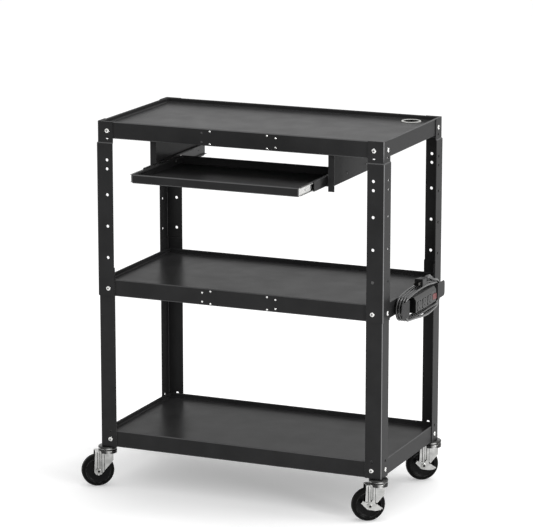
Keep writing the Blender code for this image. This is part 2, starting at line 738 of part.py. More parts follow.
# Cable grommet
ring_top = TOP_RIM_Z - PAN_DEPTH + SEAT_GAP + GROMMET_FLANGE
ring_seat = ring_top - GROMMET_FLANGE
ring_low = ring_seat - SEAT_GAP - SHEET - GROMMET_BELOW
put("cable_grommet",
    turned_mesh(((GROMMET_BORE, ring_top), (GROMMET_FLANGE_RADIUS - GROMMET_FLANGE, ring_top),
                 (GROMMET_FLANGE_RADIUS, ring_seat), (GROMMET_RADIUS, ring_seat), (GROMMET_RADIUS, ring_low),
                 (GROMMET_BORE, ring_low), (GROMMET_BORE, ring_top)), GROMMET_SIDES),
    LIGHT_PLASTIC, (GROMMET_X, GROMMET_Y, 0))


# Casters, in a frame at the swivel axis with +X ahead of the wheel
def fork_leg():
    """One pleated leg of the fork at its outer face, cut to its side outline."""
    line = [(FORK_FRONT, 0)]
    for index in range(PLEAT_COUNT):
        middle = PLEAT_PITCH * (PLEAT_COUNT - 1 - index) - TRAIL
        foot, top = PLEAT_PITCH * PLEAT_FOOT_SHARE, PLEAT_PITCH * PLEAT_TOP_SHARE
        line += [(middle + foot, 0), (middle + top, -PLEAT_DEPTH), (middle - top, -PLEAT_DEPTH), (middle - foot, 0)]
    line.append((-FORK_BACK - FORK_TIP_RADIUS, 0))
    low = WHEEL_RADIUS - 2 * FORK_TIP_RADIUS
    skin = strip([(x, y - FORK_OUTSIDE) for x, y in line], low, CROWN_TOP_Z - FORK_CROWN_DOME - FORK_SHEET / 2)
    leg = sheet_mesh(face_out(skin, (0, -1, 0)), FORK_SHEET, 0)
    tip = []
    for index in range(FORK_TIP_STEPS + 1):
        angle = math.pi + (math.pi * 3 / 4) * index / FORK_TIP_STEPS
        tip.append((-TRAIL + FORK_TIP_RADIUS * math.cos(angle), WHEEL_RADIUS + FORK_TIP_RADIUS * math.sin(angle)))
    panel_z = CROWN_TOP_Z - FORK_PANEL_DROP
    sides = [(FORK_FRONT, panel_z), (FORK_FRONT, CROWN_TOP_Z), (-FORK_BACK + FORK_BACK_TOP_SET, CROWN_TOP_Z)]
    stamp = outline_mesh(tip + sides, WHEEL_WIDTH)
    stamp.transform(Matrix.Translation((0, -FORK_OUTSIDE, 0)) @ Matrix.Rotation(math.pi / 2, 4, "X"))
    return combined(leg, [stamp], "INTERSECT")


def fork_mesh():
    """Crown and two legs in one pressing, pierced for the kingpin and the axle."""
    bottom = CROWN_TOP_Z - FORK_CROWN_HEIGHT
    crown = turned_mesh(((0, CROWN_TOP_Z), (FORK_CROWN_RADIUS - FORK_CROWN_DOME, CROWN_TOP_Z),
                         (FORK_CROWN_RADIUS, CROWN_TOP_Z - FORK_CROWN_DOME), (FORK_CROWN_RADIUS, bottom),
                         (FORK_CROWN_RADIUS - FORK_SHEET, bottom),
                         (FORK_CROWN_RADIUS - FORK_SHEET, CROWN_TOP_Z - FORK_SHEET),
                         (0, CROWN_TOP_Z - FORK_SHEET)), FORK_CROWN_SIDES)
    setback = FORK_SHEET / 2
    saddle = box_mesh((FORK_BACK_TOP_SET + setback - FORK_BACK, setback - FORK_OUTSIDE,
                       CROWN_TOP_Z - FORK_CROWN_DOME - FORK_SHEET),
                      (FORK_FRONT - setback, FORK_OUTSIDE - setback, CROWN_TOP_Z - FORK_CROWN_DOME))
    near = fork_leg()
    far = moved(near, Matrix.Diagonal((1, -1, 1, 1)))
    body = combined(crown, [saddle, near, far], "UNION")
    kingpin = rod_mesh(bore(KINGPIN_RADIUS, KINGPIN_SIDES), (0, 0, bottom - FORK_CROWN_HEIGHT),
                       (0, 0, CROWN_TOP_Z + CUT_OVERRUN), KINGPIN_SIDES)
    width = FORK_OUTSIDE + PLEAT_DEPTH + CUT_OVERRUN
    axle = rod_mesh(bore(AXLE_RADIUS, AXLE_SIDES), (-TRAIL, -width, WHEEL_RADIUS), (-TRAIL, width, WHEEL_RADIUS), AXLE_SIDES)
    head = rod_mesh(bore(KINGPIN_HEAD_RADIUS, KINGPIN_SIDES), (0, 0, bottom - FORK_CROWN_HEIGHT),
                    (0, 0, CROWN_TOP_Z - FORK_SHEET - RUNNING_GAP), KINGPIN_SIDES)
    return combined(body, [kingpin, axle, head], "DIFFERENCE")


def swivel_head_mesh():
    """Stem, race and kingpin in one turned piece, fixed to the shelf."""
    race_low = CROWN_TOP_Z + RUNNING_GAP
    pin_low = CROWN_TOP_Z - FORK_SHEET - 2 * RUNNING_GAP
    return turned_mesh(((0, RACE_TOP_Z + STEM_RISE), (STEM_RADIUS, RACE_TOP_Z + STEM_RISE),
                        (STEM_RADIUS, RACE_TOP_Z), (RACE_NECK_RADIUS, RACE_TOP_Z),
                        (RACE_RADIUS, (RACE_TOP_Z + race_low) / 2), (RACE_NECK_RADIUS, race_low),
                        (KINGPIN_RADIUS, race_low), (KINGPIN_RADIUS, pin_low),
                        (KINGPIN_HEAD_RADIUS, pin_low), (KINGPIN_HEAD_RADIUS, pin_low - KINGPIN_HEAD),
                        (0, pin_low - KINGPIN_HEAD)), KINGPIN_SIDES)


def tyre_mesh():
    """A ring with rounded shoulders, its bore seated on the core."""
    half = WHEEL_WIDTH / 2
    shoulder = WHEEL_RADIUS - TYRE_SHOULDER_DROP
    profile = ((TYRE_INNER_RADIUS, half), (shoulder - TYRE_SHOULDER_DROP, half),
               (shoulder, half - TYRE_SHOULDER_DROP), (WHEEL_RADIUS, half - TYRE_SHOULDER),
               (WHEEL_RADIUS, TYRE_SHOULDER - half), (shoulder, TYRE_SHOULDER_DROP - half),
               (shoulder - TYRE_SHOULDER_DROP, -half), (TYRE_INNER_RADIUS, -half), (TYRE_INNER_RADIUS, half))
    return turned_mesh(profile, WHEEL_SIDES)


def core_mesh():
    """The wheel's centre: a dished disc with a hub that runs against the fork."""
    outer = TYRE_INNER_RADIUS - SEAT_GAP
    half = WHEEL_WIDTH / 2 - CORE_FACE_STEP
    hub = FORK_INSIDE - RUNNING_GAP
    slope = CORE_HUB_RADIUS + CORE_FACE_STEP
    profile = ((CORE_BORE, hub), (CORE_HUB_RADIUS, hub), (slope, half), (outer, half), (outer, -half),
               (slope, -half), (CORE_HUB_RADIUS, -hub), (CORE_BORE, -hub), (CORE_BORE, hub))
    return turned_mesh(profile, WHEEL_SIDES)


def axle_mesh(near):
    """The axle bolt: a head on the near side at this distance and a nut on the far side."""
    far = FORK_OUTSIDE + PLEAT_DEPTH + SEAT_GAP
    head = near + AXLE_HEAD_HEIGHT
    return turned_mesh(((0, head), (AXLE_HEAD_RADIUS * BOLT_HEAD_FLAT_SHARE, head), (AXLE_HEAD_RADIUS, near),
                        (AXLE_RADIUS, near), (AXLE_RADIUS, -far), (AXLE_HEAD_RADIUS, -far),
                        (AXLE_HEAD_RADIUS, -far - AXLE_NUT_HEIGHT), (0, -far - AXLE_NUT_HEIGHT)), AXLE_SIDES)


def share_outline(shares, size):
    return [(x * size, z * size) for x, z in shares]


def pedal_mesh():
    """A pressed rocker beside the fork with a toe pad and a heel pad bent outward."""
    plate = outline_mesh(share_outline(PEDAL_OUTLINE_SHARES, PEDAL_REACH), PEDAL_SHEET)
    pads = []
    for shares in (PEDAL_TOE_PAD_SHARES, PEDAL_HEEL_PAD_SHARES):
        pad = outline_mesh(share_outline(shares, PEDAL_REACH), PEDAL_PAD + PEDAL_SHEET)
        pad.transform(Matrix.Translation((0, 0, PEDAL_PAD / 2)))
        pads.append(pad)
    body = combined(plate, pads, "UNION")
    hole = rod_mesh(bore(AXLE_RADIUS, AXLE_SIDES), (0, 0, -PEDAL_SHEET), (0, 0, PEDAL_SHEET), AXLE_SIDES)
    return combined(body, [hole], "DIFFERENCE")


side_on = Matrix.Rotation(math.pi / 2, 4, "X")
head_data, fork_data = swivel_head_mesh(), fork_mesh()
tyre_data, core_data = moved(tyre_mesh(), side_on), moved(core_mesh(), side_on)
pedal_data = moved(pedal_mesh(), side_on)
pleat_face = FORK_OUTSIDE + PLEAT_DEPTH
for corner, (sx, sy, turn) in CORNERS.items():
    swivel = empty(f"caster_{corner}_swivel", (sx * CASTER_X, sy * CASTER_Y, 0), CASTER_YAW)
    wheel = empty(f"caster_{corner}_wheel", (-TRAIL, 0, WHEEL_RADIUS), 0.0, swivel)
    put(f"caster_{corner}_swivel_head", head_data, ZINC, (sx * CASTER_X, sy * CASTER_Y, 0))
    put(f"caster_{corner}_fork", fork_data, ZINC, parent=swivel)
    put(f"caster_{corner}_tyre", tyre_data, RUBBER, parent=wheel)
    put(f"caster_{corner}_core", core_data, NYLON, parent=wheel)
    proud = BRAKE_PROUD if corner in BRAKED else 0
    axle_data = moved(axle_mesh(pleat_face + proud + SEAT_GAP), side_on)
    put(f"caster_{corner}_axle", axle_data, ZINC, (-TRAIL, 0, WHEEL_RADIUS), parent=swivel)
    if corner in BRAKED:
        middle = -pleat_face - SEAT_GAP - PEDAL_SHEET / 2
        put(f"brake_pedal_{corner}", pedal_data, ZINC, (-TRAIL, middle, WHEEL_RADIUS), parent=swivel)

# Caster corner plates with their weld nuts, inside the bottom shelf
def corner_plate_mesh(sx, sy):
    """A plate across a corner with its far corner cut off, a weld nut on it and a bore through both."""
    out_x, out_y = APRON_HALF_X - SHEET - SHEET_BEND, APRON_HALF_Y - SHEET - SHEET_BEND
    near_x, near_y = out_x - CORNER_PLATE_SIDE, out_y - CORNER_PLATE_SIDE
    low = SHELF_BOTTOM_Z + SHEET + SEAT_GAP
    high = low + CORNER_PLATE
    cut_off = CORNER_PLATE_SIDE * CORNER_PLATE_CUT_SHARE
    outline = ((out_x - SHEET_BEND, out_y), (near_x, out_y), (near_x, out_y - cut_off),
               (out_x - cut_off, near_y), (out_x, near_y), (out_x, out_y - SHEET_BEND))
    plate = outline_mesh([(sx * x, sy * y) for x, y in outline], CORNER_PLATE)
    plate.transform(Matrix.Translation((0, 0, (low + high) / 2)))
    x, y = sx * CASTER_X, sy * CASTER_Y
    nut = rod_mesh(CASTER_NUT_RADIUS, (x, y, (low + high) / 2), (x, y, high + CASTER_NUT_HEIGHT), BOLT_SIDES)
    hole = rod_mesh(bore(STEM_RADIUS, KINGPIN_SIDES), (x, y, low - CUT_OVERRUN),
                    (x, y, high + CASTER_NUT_HEIGHT + CUT_OVERRUN), KINGPIN_SIDES)
    return combined(combined(plate, [nut], "UNION"), [hole], "DIFFERENCE")


for corner, (sx, sy, turn) in CORNERS.items():
    put(f"caster_{corner}_corner_plate", corner_plate_mesh(sx, sy), ZINC)


# Keyboard tray, in a frame that slides with it
tray_y = TRAY_CLOSED_FRONT_Y + TRAY_DEPTH / 2 - TRAY_SHOWN_OUT
tray_frame = empty("tray_slide", (0, tray_y, 0))
tray_folds = ((0, TRAY_HEIGHT), (-TRAY_HEM, 0), (0, -TRAY_HEM_DROP))
tray = put("keyboard_tray", folded(TRAY_SIDE_X, TRAY_DEPTH / 2, TRAY_FLOOR_Z, tray_folds, -1),
           POWDER_COAT, parent=tray_frame)
bend_and_thicken(tray, SHEET, SHEET_BEND)


def slide_channel(web_x, height, lip, sheet_lip):
    """A C section about the slide's height, its web outward at web_x and its lips toward the tray."""
    half = height / 2
    inside = half - sheet_lip
    outer, tip = web_x + SLIDE_SHEET, web_x - lip
    outline = ((tip, half), (outer, half), (outer, -half), (tip, -half), (tip, -inside),
               (web_x, -inside), (web_x, inside), (tip, inside))
    data = outline_mesh(outline, TRAY_DEPTH)
    data.transform(Matrix.Translation((0, 0, SLIDE_Z)) @ Matrix.Rotation(math.pi / 2, 4, "X"))
    return data


def inner_channel():
    """The section that is fixed to the tray, with its lips toward the hanger."""
    half = SLIDE_INNER_HEIGHT / 2
    inside = half - SLIDE_SHEET
    web, face = SLIDE_INNER_X, SLIDE_INNER_X + SLIDE_SHEET
    tip = face + SLIDE_INNER_LIP
    outline = ((web, half), (tip, half), (tip, inside), (face, inside), (face, -inside),
               (tip, -inside), (tip, -half), (web, -half))
    data = outline_mesh(outline, TRAY_DEPTH)
    data.transform(Matrix.Translation((0, 0, SLIDE_Z)) @ Matrix.Rotation(math.pi / 2, 4, "X"))
    return data


def x_rods(radius, shares, low, high):
    """Cutters along X at shares of the tray's depth."""
    rods = []
    for share in shares:
        rods.append(rod_mesh(radius, (low, share_y(share), SLIDE_Z), (high, share_y(share), SLIDE_Z), SCREW_SIDES))
    return rods


def share_y(share):
    """A place along the tray's depth, about its middle."""
    return (share - 1 / 2) * TRAY_DEPTH


slide_closed_y = TRAY_CLOSED_FRONT_Y + TRAY_DEPTH / 2
flip = Matrix.Diagonal((-1, 1, 1, 1))
screw_hole = bore(SCREW_RADIUS, SCREW_SIDES)
inner_mesh = combined(inner_channel(), x_rods(screw_hole, TRAY_SCREW_SHARES, TRAY_SIDE_X, SLIDE_MIDDLE_X), "DIFFERENCE")
middle_mesh = slide_channel(SLIDE_MIDDLE_X, SLIDE_MIDDLE_HEIGHT, SLIDE_MIDDLE_LIP, SLIDE_RACE)
outer_mesh = combined(slide_channel(SLIDE_OUTER_X, SLIDE_OUTER_HEIGHT, SLIDE_OUTER_LIP, SLIDE_OUTER_SHEET),
                      x_rods(screw_hole, HANGER_SCREW_SHARES, SLIDE_OUTER_X - CUT_OVERRUN, HANGER_X), "DIFFERENCE")
tray_screw = fastener(SCREW_HEAD_RADIUS, SCREW_HEAD_HEIGHT, SHEET / 2, SCREW_RADIUS,
                      SLIDE_INNER_X + SLIDE_SHEET - TRAY_SIDE_X + SHEET, SCREW_SIDES)
tray_screws = []
for share in TRAY_SCREW_SHARES:
    spot = (TRAY_SIDE_X - SHEET, share_y(share), SLIDE_Z)
    tray_screws.append(moved(tray_screw, axis_frame(spot, (-1, 0, 0))))
cut(tray, joined(tray_screws + [moved(screw, flip) for screw in tray_screws]), "tray_screws", "UNION")


def hanger_mesh():
    """A hanging plate with a top flange and a footed front flange bent outward, its slide screws
    through the outer member and stud nuts below the top flange."""
    front, back = -TRAY_DEPTH / 2, TRAY_DEPTH / 2
    face = HANGER_X + HANGER_SHEET
    plate = box_mesh((HANGER_X, front, HANGER_BOTTOM_Z), (face, back, HANGER_TOP_Z))
    top = box_mesh((HANGER_X, front, HANGER_TOP_Z - HANGER_SHEET), (face + HANGER_TOP_FLANGE, back, HANGER_TOP_Z))
    lip = box_mesh((HANGER_X, front, HANGER_BOTTOM_Z - HANGER_FOOT),
                   (face + HANGER_FRONT_FLANGE, front + HANGER_SHEET, HANGER_TOP_Z))
    screw = fastener(SCREW_HEAD_RADIUS, SCREW_HEAD_HEIGHT, HANGER_SHEET / 2, SCREW_RADIUS, face - SLIDE_OUTER_X,
                     SCREW_SIDES)
    pieces = [top, lip]
    for share in HANGER_SCREW_SHARES:
        pieces.append(moved(screw, axis_frame((face, share_y(share), SLIDE_Z), (1, 0, 0))))
    nut_x = face + HANGER_TOP_FLANGE / 2
    for share in HANGER_STUD_SHARES:
        low = HANGER_TOP_Z - HANGER_SHEET - STUD_NUT_HEIGHT
        ends = (nut_x, share_y(share), low), (nut_x, share_y(share), HANGER_TOP_Z - HANGER_SHEET / 2)
        pieces.append(rod_mesh(STUD_NUT_RADIUS, *ends, SCREW_SIDES))
    return combined(plate, pieces, "UNION")


hanger_data = hanger_mesh()
middle_frame = empty("slide_middle", (0, slide_closed_y - TRAY_SHOWN_OUT / 2, 0))
for side, mirror in (("right", Matrix.Identity(4)), ("left", flip)):
    put(f"tray_hanger_{side}", moved(hanger_data, mirror), POWDER_COAT, (0, slide_closed_y, 0))
    put(f"slide_outer_{side}", moved(outer_mesh, mirror), DARK_STEEL, (0, slide_closed_y, 0))
    put(f"slide_middle_{side}", moved(middle_mesh, mirror), DARK_STEEL, parent=middle_frame)
    put(f"slide_inner_{side}", moved(inner_mesh, mirror), ZINC, parent=tray_frame)


# Cord winder bracket
def ear_outline():
    """A plate beside the bracket's arm with its two far corners rounded: (along Y, up)."""
    half, reach, radius = WINDER_EAR_HEIGHT / 2, WINDER_ARM_Y + WINDER_EAR_REACH, WINDER_EAR_RADIUS
    start = WINDER_ARM_Y - WINDER_SHEET
    points = [(start, half), (start, -half)]
    for centre_z, first in ((radius - half, -math.pi / 2), (half - radius, 0)):
        for index in range(WINDER_EAR_STEPS + 1):
            angle = first + math.pi / 2 * index / WINDER_EAR_STEPS
            points.append((reach - radius + radius * math.cos(angle), centre_z + radius * math.sin(angle)))
    return points


def winder_mesh():
    """A bent strap: base on the apron, an arm at each end and an ear on each arm."""
    ear_x = WINDER_FACE_X + WINDER_EAR_X
    half = WINDER_ARM_HEIGHT / 2
    arm = WINDER_ARM_Y - WINDER_SHEET
    line = ((ear_x, -arm), (WINDER_FACE_X, -arm), (WINDER_FACE_X, arm), (ear_x, arm))
    skin = face_out(strip(line, WINDER_Z - half, WINDER_Z + half), (1, 0, 0))
    strap = sheet_mesh(skin, WINDER_SHEET, 0)
    ear = outline_mesh(ear_outline(), WINDER_SHEET)
    upright = Matrix(((0, 0, 1, ear_x - WINDER_SHEET / 2), (1, 0, 0, 0), (0, 1, 0, WINDER_Z), (0, 0, 0, 1)))
    ear.transform(upright)
    other = moved(ear, Matrix.Diagonal((1, -1, 1, 1)))
    body = combined(strap, [ear, other], "UNION")
    notch_half = CORD_RADIUS + WINDER_NOTCH_CLEARANCE
    slot = box_mesh((CORD_EXIT_X - notch_half, arm - CUT_OVERRUN, WINDER_Z - half - CUT_OVERRUN),
                    (CORD_EXIT_X + notch_half, WINDER_ARM_Y + CUT_OVERRUN, CORD_EXIT_Z + notch_half))
    body = combined(body, [slot], "DIFFERENCE")
    screw = fastener(SCREW_HEAD_RADIUS, SCREW_HEAD_HEIGHT, WINDER_SHEET / 2, SCREW_RADIUS,
                     WINDER_FACE_X - APRON_HALF_X + SHEET, SCREW_SIDES)
    screws = [moved(screw, axis_frame((WINDER_FACE_X, sy * WINDER_SCREW_Y, WINDER_Z), (1, 0, 0))) for sy in (-1, 1)]
    return combined(body, screws, "UNION")


put("cord_winder_bracket", winder_mesh(), POWDER_COAT)


# Power strip housing with pockets for its outlets and switch
OUTLET_Z = HOUSING_BOTTOM_Z + (HOUSING_HEIGHT - HOUSING_CHAMFER_DOWN) / 2
outlet_ys = [OUTLET_FIRST_Y + OUTLET_PITCH * index for index in range(OUTLET_COUNT)]


def housing_mesh():
    top = HOUSING_BOTTOM_Z + HOUSING_HEIGHT
    section = ((HOUSING_X, HOUSING_BOTTOM_Z), (HOUSING_FACE_X - HOUSING_EDGE, HOUSING_BOTTOM_Z),
               (HOUSING_FACE_X, HOUSING_BOTTOM_Z + HOUSING_EDGE), (HOUSING_FACE_X, top - HOUSING_CHAMFER_DOWN),
               (HOUSING_FACE_X - HOUSING_CHAMFER_OUT, top), (HOUSING_X, top))
    body = outline_mesh(section, 2 * HOUSING_HALF_LENGTH)
    body.transform(Matrix.Rotation(math.pi / 2, 4, "X"))
    pockets = []
    half_y, half_z = OUTLET_LENGTH / 2 + SEAT_GAP, OUTLET_HEIGHT / 2 + SEAT_GAP
    floor = HOUSING_FACE_X - POCKET_DEPTH - SEAT_GAP
    far = HOUSING_FACE_X + CUT_OVERRUN
    for y in outlet_ys:
        pockets.append(box_mesh((floor, y - half_y, OUTLET_Z - half_z), (far, y + half_y, OUTLET_Z + half_z)))
    half_y, half_z = SWITCH_LENGTH / 2 + SWITCH_POCKET_GAP, SWITCH_HEIGHT / 2 + SWITCH_POCKET_GAP
    floor = HOUSING_FACE_X - SWITCH_POCKET_DEPTH
    pockets.append(box_mesh((floor, SWITCH_Y - half_y, OUTLET_Z - half_z), (far, SWITCH_Y + half_y, OUTLET_Z + half_z)))
    return combined(body, pockets, "DIFFERENCE")


put("power_strip_housing", housing_mesh(), GREY_PLASTIC)


def outlet_mesh():
    """An insert with cut corners, two blade slots and an earth hole, its face at x = 0."""
    half, rise, corner = OUTLET_LENGTH / 2, OUTLET_HEIGHT / 2, OUTLET_CORNER
    outline = ((-half, rise - corner), (-half, corner - rise), (corner - half, -rise), (half - corner, -rise),
               (half, corner - rise), (half, rise - corner), (half - corner, rise), (corner - half, rise))
    depth = POCKET_DEPTH + OUTLET_PROUD
    face = outline_mesh(outline, depth)
    face.transform(Matrix(((0, 0, 1, -depth / 2), (1, 0, 0, 0), (0, 1, 0, 0), (0, 0, 0, 1))))
    holes = []
    for sy in (-1, 1):
        y, half_wide = sy * SLOT_SPACING / 2, SLOT_WIDTH / 2
        holes.append(box_mesh((-SLOT_DEPTH, y - half_wide, SLOT_RISE - SLOT_LENGTH / 2),
                              (CUT_OVERRUN, y + half_wide, SLOT_RISE + SLOT_LENGTH / 2)))
    holes.append(rod_mesh(EARTH_RADIUS, (-SLOT_DEPTH, 0, -EARTH_DROP), (CUT_OVERRUN, 0, -EARTH_DROP), EARTH_SIDES))
    return combined(face, holes, "DIFFERENCE")


outlet = outlet_mesh()
for number, y in enumerate(outlet_ys, 1):
    put(f"outlet_{number}", outlet, DARK_PLASTIC, (HOUSING_FACE_X + OUTLET_PROUD, y, OUTLET_Z))


def rocker_mesh():
    """A rocker with a shallow valley, in plan about its upright pin at the origin."""
    half = SWITCH_LENGTH / 2
    front = SWITCH_PROUD + SWITCH_PIN_SETBACK
    back = SWITCH_PIN_SETBACK - SWITCH_BODY_DEPTH
    outline = ((front, half), (front - SWITCH_VALLEY, 0), (front, -half), (0, -half), (back, 0), (0, half))
    body = outline_mesh(outline, SWITCH_HEIGHT)
    return body


pin_x = HOUSING_FACE_X - SWITCH_PIN_SETBACK
put("rocker_switch", rocker_mesh(), RED_PLASTIC, (pin_x, SWITCH_Y, OUTLET_Z), -SWITCH_TILT)


# Strain relief, plug and cord
def round_along(back, profile, sides):
    """A turned piece whose top looks along +Y or -Y."""
    return moved(turned_mesh(profile, sides), Matrix.Rotation(math.pi / 2 * back, 4, "X"))


relief_root = HOUSING_HALF_LENGTH + SEAT_GAP
relief_length = CORD_END_Y - relief_root
relief = round_along(-1, ((0, relief_length), (RELIEF_TIP_RADIUS, relief_length),
                          (RELIEF_BASE_RADIUS, RELIEF_FLANGE), (RELIEF_BASE_RADIUS, 0), (0, 0)), RELIEF_SIDES)
put("cord_strain_relief", relief, CORD_PLASTIC, (CORD_EXIT_X, relief_root, CORD_EXIT_Z))


def smooth(value):
    """A smooth step between 0 and 1."""
    value = min(1.0, max(0.0, value))
    return value * value * (3 - 2 * value)


def run_height(y, end_height):
    """The bow of a run between the two end arcs, above the centre line."""
    return end_height + CORD_RUN_RISE * (1 - (y / CORD_END_Y) ** 2)


def arc_point(x, sy, radius, share):
    """A point on an end arc: share 0 at the top, 1 at the bottom."""
    angle = math.pi / 2 - math.pi * share
    return (x, sy * (CORD_END_Y + radius * math.cos(angle)), CORD_CENTRE_Z + radius * math.sin(angle))


def cord_route():
    """The wound cord's centre line, from the strain relief to the plug's neck."""
    straight = 2 * CORD_RADIUS
    start = CORD_END_Y + SEAT_GAP
    points = [(CORD_EXIT_X, start, CORD_EXIT_Z), (CORD_EXIT_X, start + straight, CORD_EXIT_Z)]
    lead_top = WINDER_Z + CORD_LEAD_TOP
    lead_radius = (lead_top - CORD_EXIT_Z) / 2
    for index in range(1, CORD_ARC_POINTS + 1):
        share = index / CORD_ARC_POINTS
        angle = math.pi * share - math.pi / 2
        x = CORD_EXIT_X + (CORD_X - CORD_EXIT_X) * smooth(share)
        points.append((x, CORD_LEAD_Y + lead_radius * math.cos(angle),
                       CORD_EXIT_Z + lead_radius * (1 + math.sin(angle))))
    for turn in range(CORD_TURNS):
        x = CORD_X + CORD_PITCH * turn
        last = turn == CORD_TURNS - 1
        for index in range(1, CORD_RUN_POINTS + 1):
            share = index / (CORD_RUN_POINTS + 1)
            y = CORD_END_Y * (1 - 2 * share)
            z = CORD_CENTRE_Z + run_height(y, CORD_END_RADIUS)
            if turn == 0:
                above = lead_top - CORD_CENTRE_Z - CORD_END_RADIUS
                z += (above - CORD_RUN_RISE * (1 - (y / CORD_END_Y) ** 2)) * smooth(1 - 2 * share)
            points.append((x, y, z))
        for index in range(CORD_ARC_POINTS):
            points.append(arc_point(x, -1, CORD_END_RADIUS, index / (CORD_ARC_POINTS - 1)))
        for index in range(1, CORD_RUN_POINTS + 1):
            share = index / (CORD_RUN_POINTS + 1)
            y = CORD_END_Y * (2 * share - 1)
            step = smooth(3 * share - 2)
            dip = CORD_DIP * smooth(3 * share - 1) if last else 0
            across = 0 if last else CORD_PITCH * step
            points.append((x + across, y, CORD_CENTRE_Z - run_height(y, CORD_END_RADIUS) - dip))
        across = 0 if last else CORD_PITCH
        radius = CORD_END_RADIUS + (CORD_DIP if last else 0)
        for index in range(CORD_ARC_POINTS):
            points.append(arc_point(x + across, 1, radius, 1 - index / (CORD_ARC_POINTS - 1)))
    tail_x, level = PLUG_X, PLUG_Z
    plug_back = PLUG_FRONT_Y + PLUG_LENGTH + PLUG_NECK_LENGTH
    before = plug_back + SEAT_GAP + 2 * straight
    first = points[-1]
    middle_y = (first[1] + before) / 2
    points.append(((first[0] + tail_x) / 2, middle_y, (first[2] + level) / 2))
    points.append((tail_x, before, level))
    points.append((tail_x, plug_back + SEAT_GAP + straight, level))
    points.append((tail_x, plug_back + SEAT_GAP, level))
    return points


def least_self_gap(points, apart):
    """The least clear distance between stretches of the tube that are this far apart along it."""
    lengths = [0.0]
    for first, second in zip(points, points[1:]):
        lengths.append(lengths[-1] + (Vector(second) - Vector(first)).length)
    samples = []
    for index in range(len(points) - 1):
        first, second = Vector(points[index]), Vector(points[index + 1])
        for part in range(8):
            share = part / 8
            samples.append((lengths[index] + share * (second - first).length, first.lerp(second, share)))
    least = min((one - two).length for a, one in samples for b, two in samples if b - a > apart)
    return least - 2 * CORD_RADIUS, lengths[-1]


cord_points = cord_route()
cord_curve = bpy.data.curves.new("power_cord", "CURVE")
cord_curve.dimensions = "3D"
cord_curve.bevel_depth = CORD_RADIUS
cord_curve.bevel_resolution = 1
cord_curve.use_fill_caps = True
cord_line = cord_curve.splines.new("POLY")
cord_line.points.add(len(cord_points) - 1)
for control, place in zip(cord_line.points, cord_points):
    control.co = (*place, 1)
put("power_cord", cord_curve, CORD_PLASTIC)
cord_gap, cord_length = least_self_gap(cord_points, 8 * CORD_RADIUS)
print(f"Cord: {cord_length:.3f} m long, {CORD_TURNS} turns, least gap to itself {cord_gap * 1000:.2f} mm")


def plug_mesh():
    """A moulded plug: tapered neck, body with eased edges and two flat blades, its neck toward +Y."""
    back = PLUG_FRONT_Y + PLUG_LENGTH
    half, rise = PLUG_WIDTH / 2, PLUG_THICK / 2
    body = box_mesh((-half, PLUG_FRONT_Y, -rise), (half, back, rise))
    helper = bpy.data.objects.new("plug", body)
    parts.objects.link(helper)
    bevel = helper.modifiers.new("Edges", "BEVEL")
    bevel.width = PLUG_EDGE
    bevel.segments = 1
    body = baked(helper)
    neck = round_along(-1, ((0, PLUG_NECK_LENGTH), (PLUG_NECK_RADIUS * PLUG_NECK_TAPER_SHARE, PLUG_NECK_LENGTH),
                            (PLUG_NECK_RADIUS, 0), (0, 0)), RELIEF_SIDES)
    neck.transform(Matrix.Translation((0, back - PLUG_EDGE, 0)) @ Matrix.Diagonal(
        (1, (PLUG_NECK_LENGTH + PLUG_EDGE) / PLUG_NECK_LENGTH, 1, 1)))
    blades = []
    for sx in (-1, 1):
        x, half_thick = sx * SLOT_SPACING / 2, BLADE_THICK / 2
        blades.append(box_mesh((x - half_thick, PLUG_FRONT_Y - BLADE_LENGTH, -BLADE_HEIGHT / 2),
                               (x + half_thick, PLUG_FRONT_Y + PLUG_EDGE, BLADE_HEIGHT / 2)))
    return combined(body, [neck] + blades, "UNION")


put("cord_plug", plug_mesh(), CORD_PLASTIC, (PLUG_X, 0, PLUG_Z))
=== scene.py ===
"""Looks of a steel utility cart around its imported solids: satin black sheet steel with fine edges,
bright bolts, rivets, pleated casters, a power strip and its wound cord. Metres, in the part's frame."""

import math

import bmesh
import bpy
from mathutils import Matrix, Vector


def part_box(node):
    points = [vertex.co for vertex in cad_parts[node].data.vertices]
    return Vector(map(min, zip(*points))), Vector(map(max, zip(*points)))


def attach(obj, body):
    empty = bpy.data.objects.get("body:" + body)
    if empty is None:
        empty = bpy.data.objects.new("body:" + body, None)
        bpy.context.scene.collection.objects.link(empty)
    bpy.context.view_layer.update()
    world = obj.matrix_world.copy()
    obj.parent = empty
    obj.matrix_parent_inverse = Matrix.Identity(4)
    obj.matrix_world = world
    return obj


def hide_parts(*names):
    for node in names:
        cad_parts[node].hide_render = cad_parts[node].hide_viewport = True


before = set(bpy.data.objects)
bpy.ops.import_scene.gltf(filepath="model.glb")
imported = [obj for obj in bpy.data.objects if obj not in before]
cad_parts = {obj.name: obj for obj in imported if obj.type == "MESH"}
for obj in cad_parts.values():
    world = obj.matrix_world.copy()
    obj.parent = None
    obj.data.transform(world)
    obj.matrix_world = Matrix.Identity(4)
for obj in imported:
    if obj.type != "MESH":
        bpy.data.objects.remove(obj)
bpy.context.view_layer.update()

# Clearances, shading limits and eased edges
MERGE = 0.00001
NEAR = 0.0002
SEAT_GAP = 0.0003
RUNNING_GAP = 0.0004
OVERRUN = 0.001
FLAT_ANGLE = math.radians(0.6)
SMOOTH_ANGLE = math.radians(62)
TURNED_ANGLE = math.radians(40)
BOLT_ANGLE = math.radians(35)
LEG_ANGLE = math.radians(30)
EDGE_ANGLE = math.radians(32)
LEG_EDGE_ANGLE = math.radians(50)
PRESSED_EDGE_ANGLE = math.radians(25)
FINE_EDGE = 0.0003
NUT_EDGE = 0.0006
PRESSED_EDGE = 0.0004
PEDAL_EDGE = 0.0005
HOUSING_EDGE = 0.0007
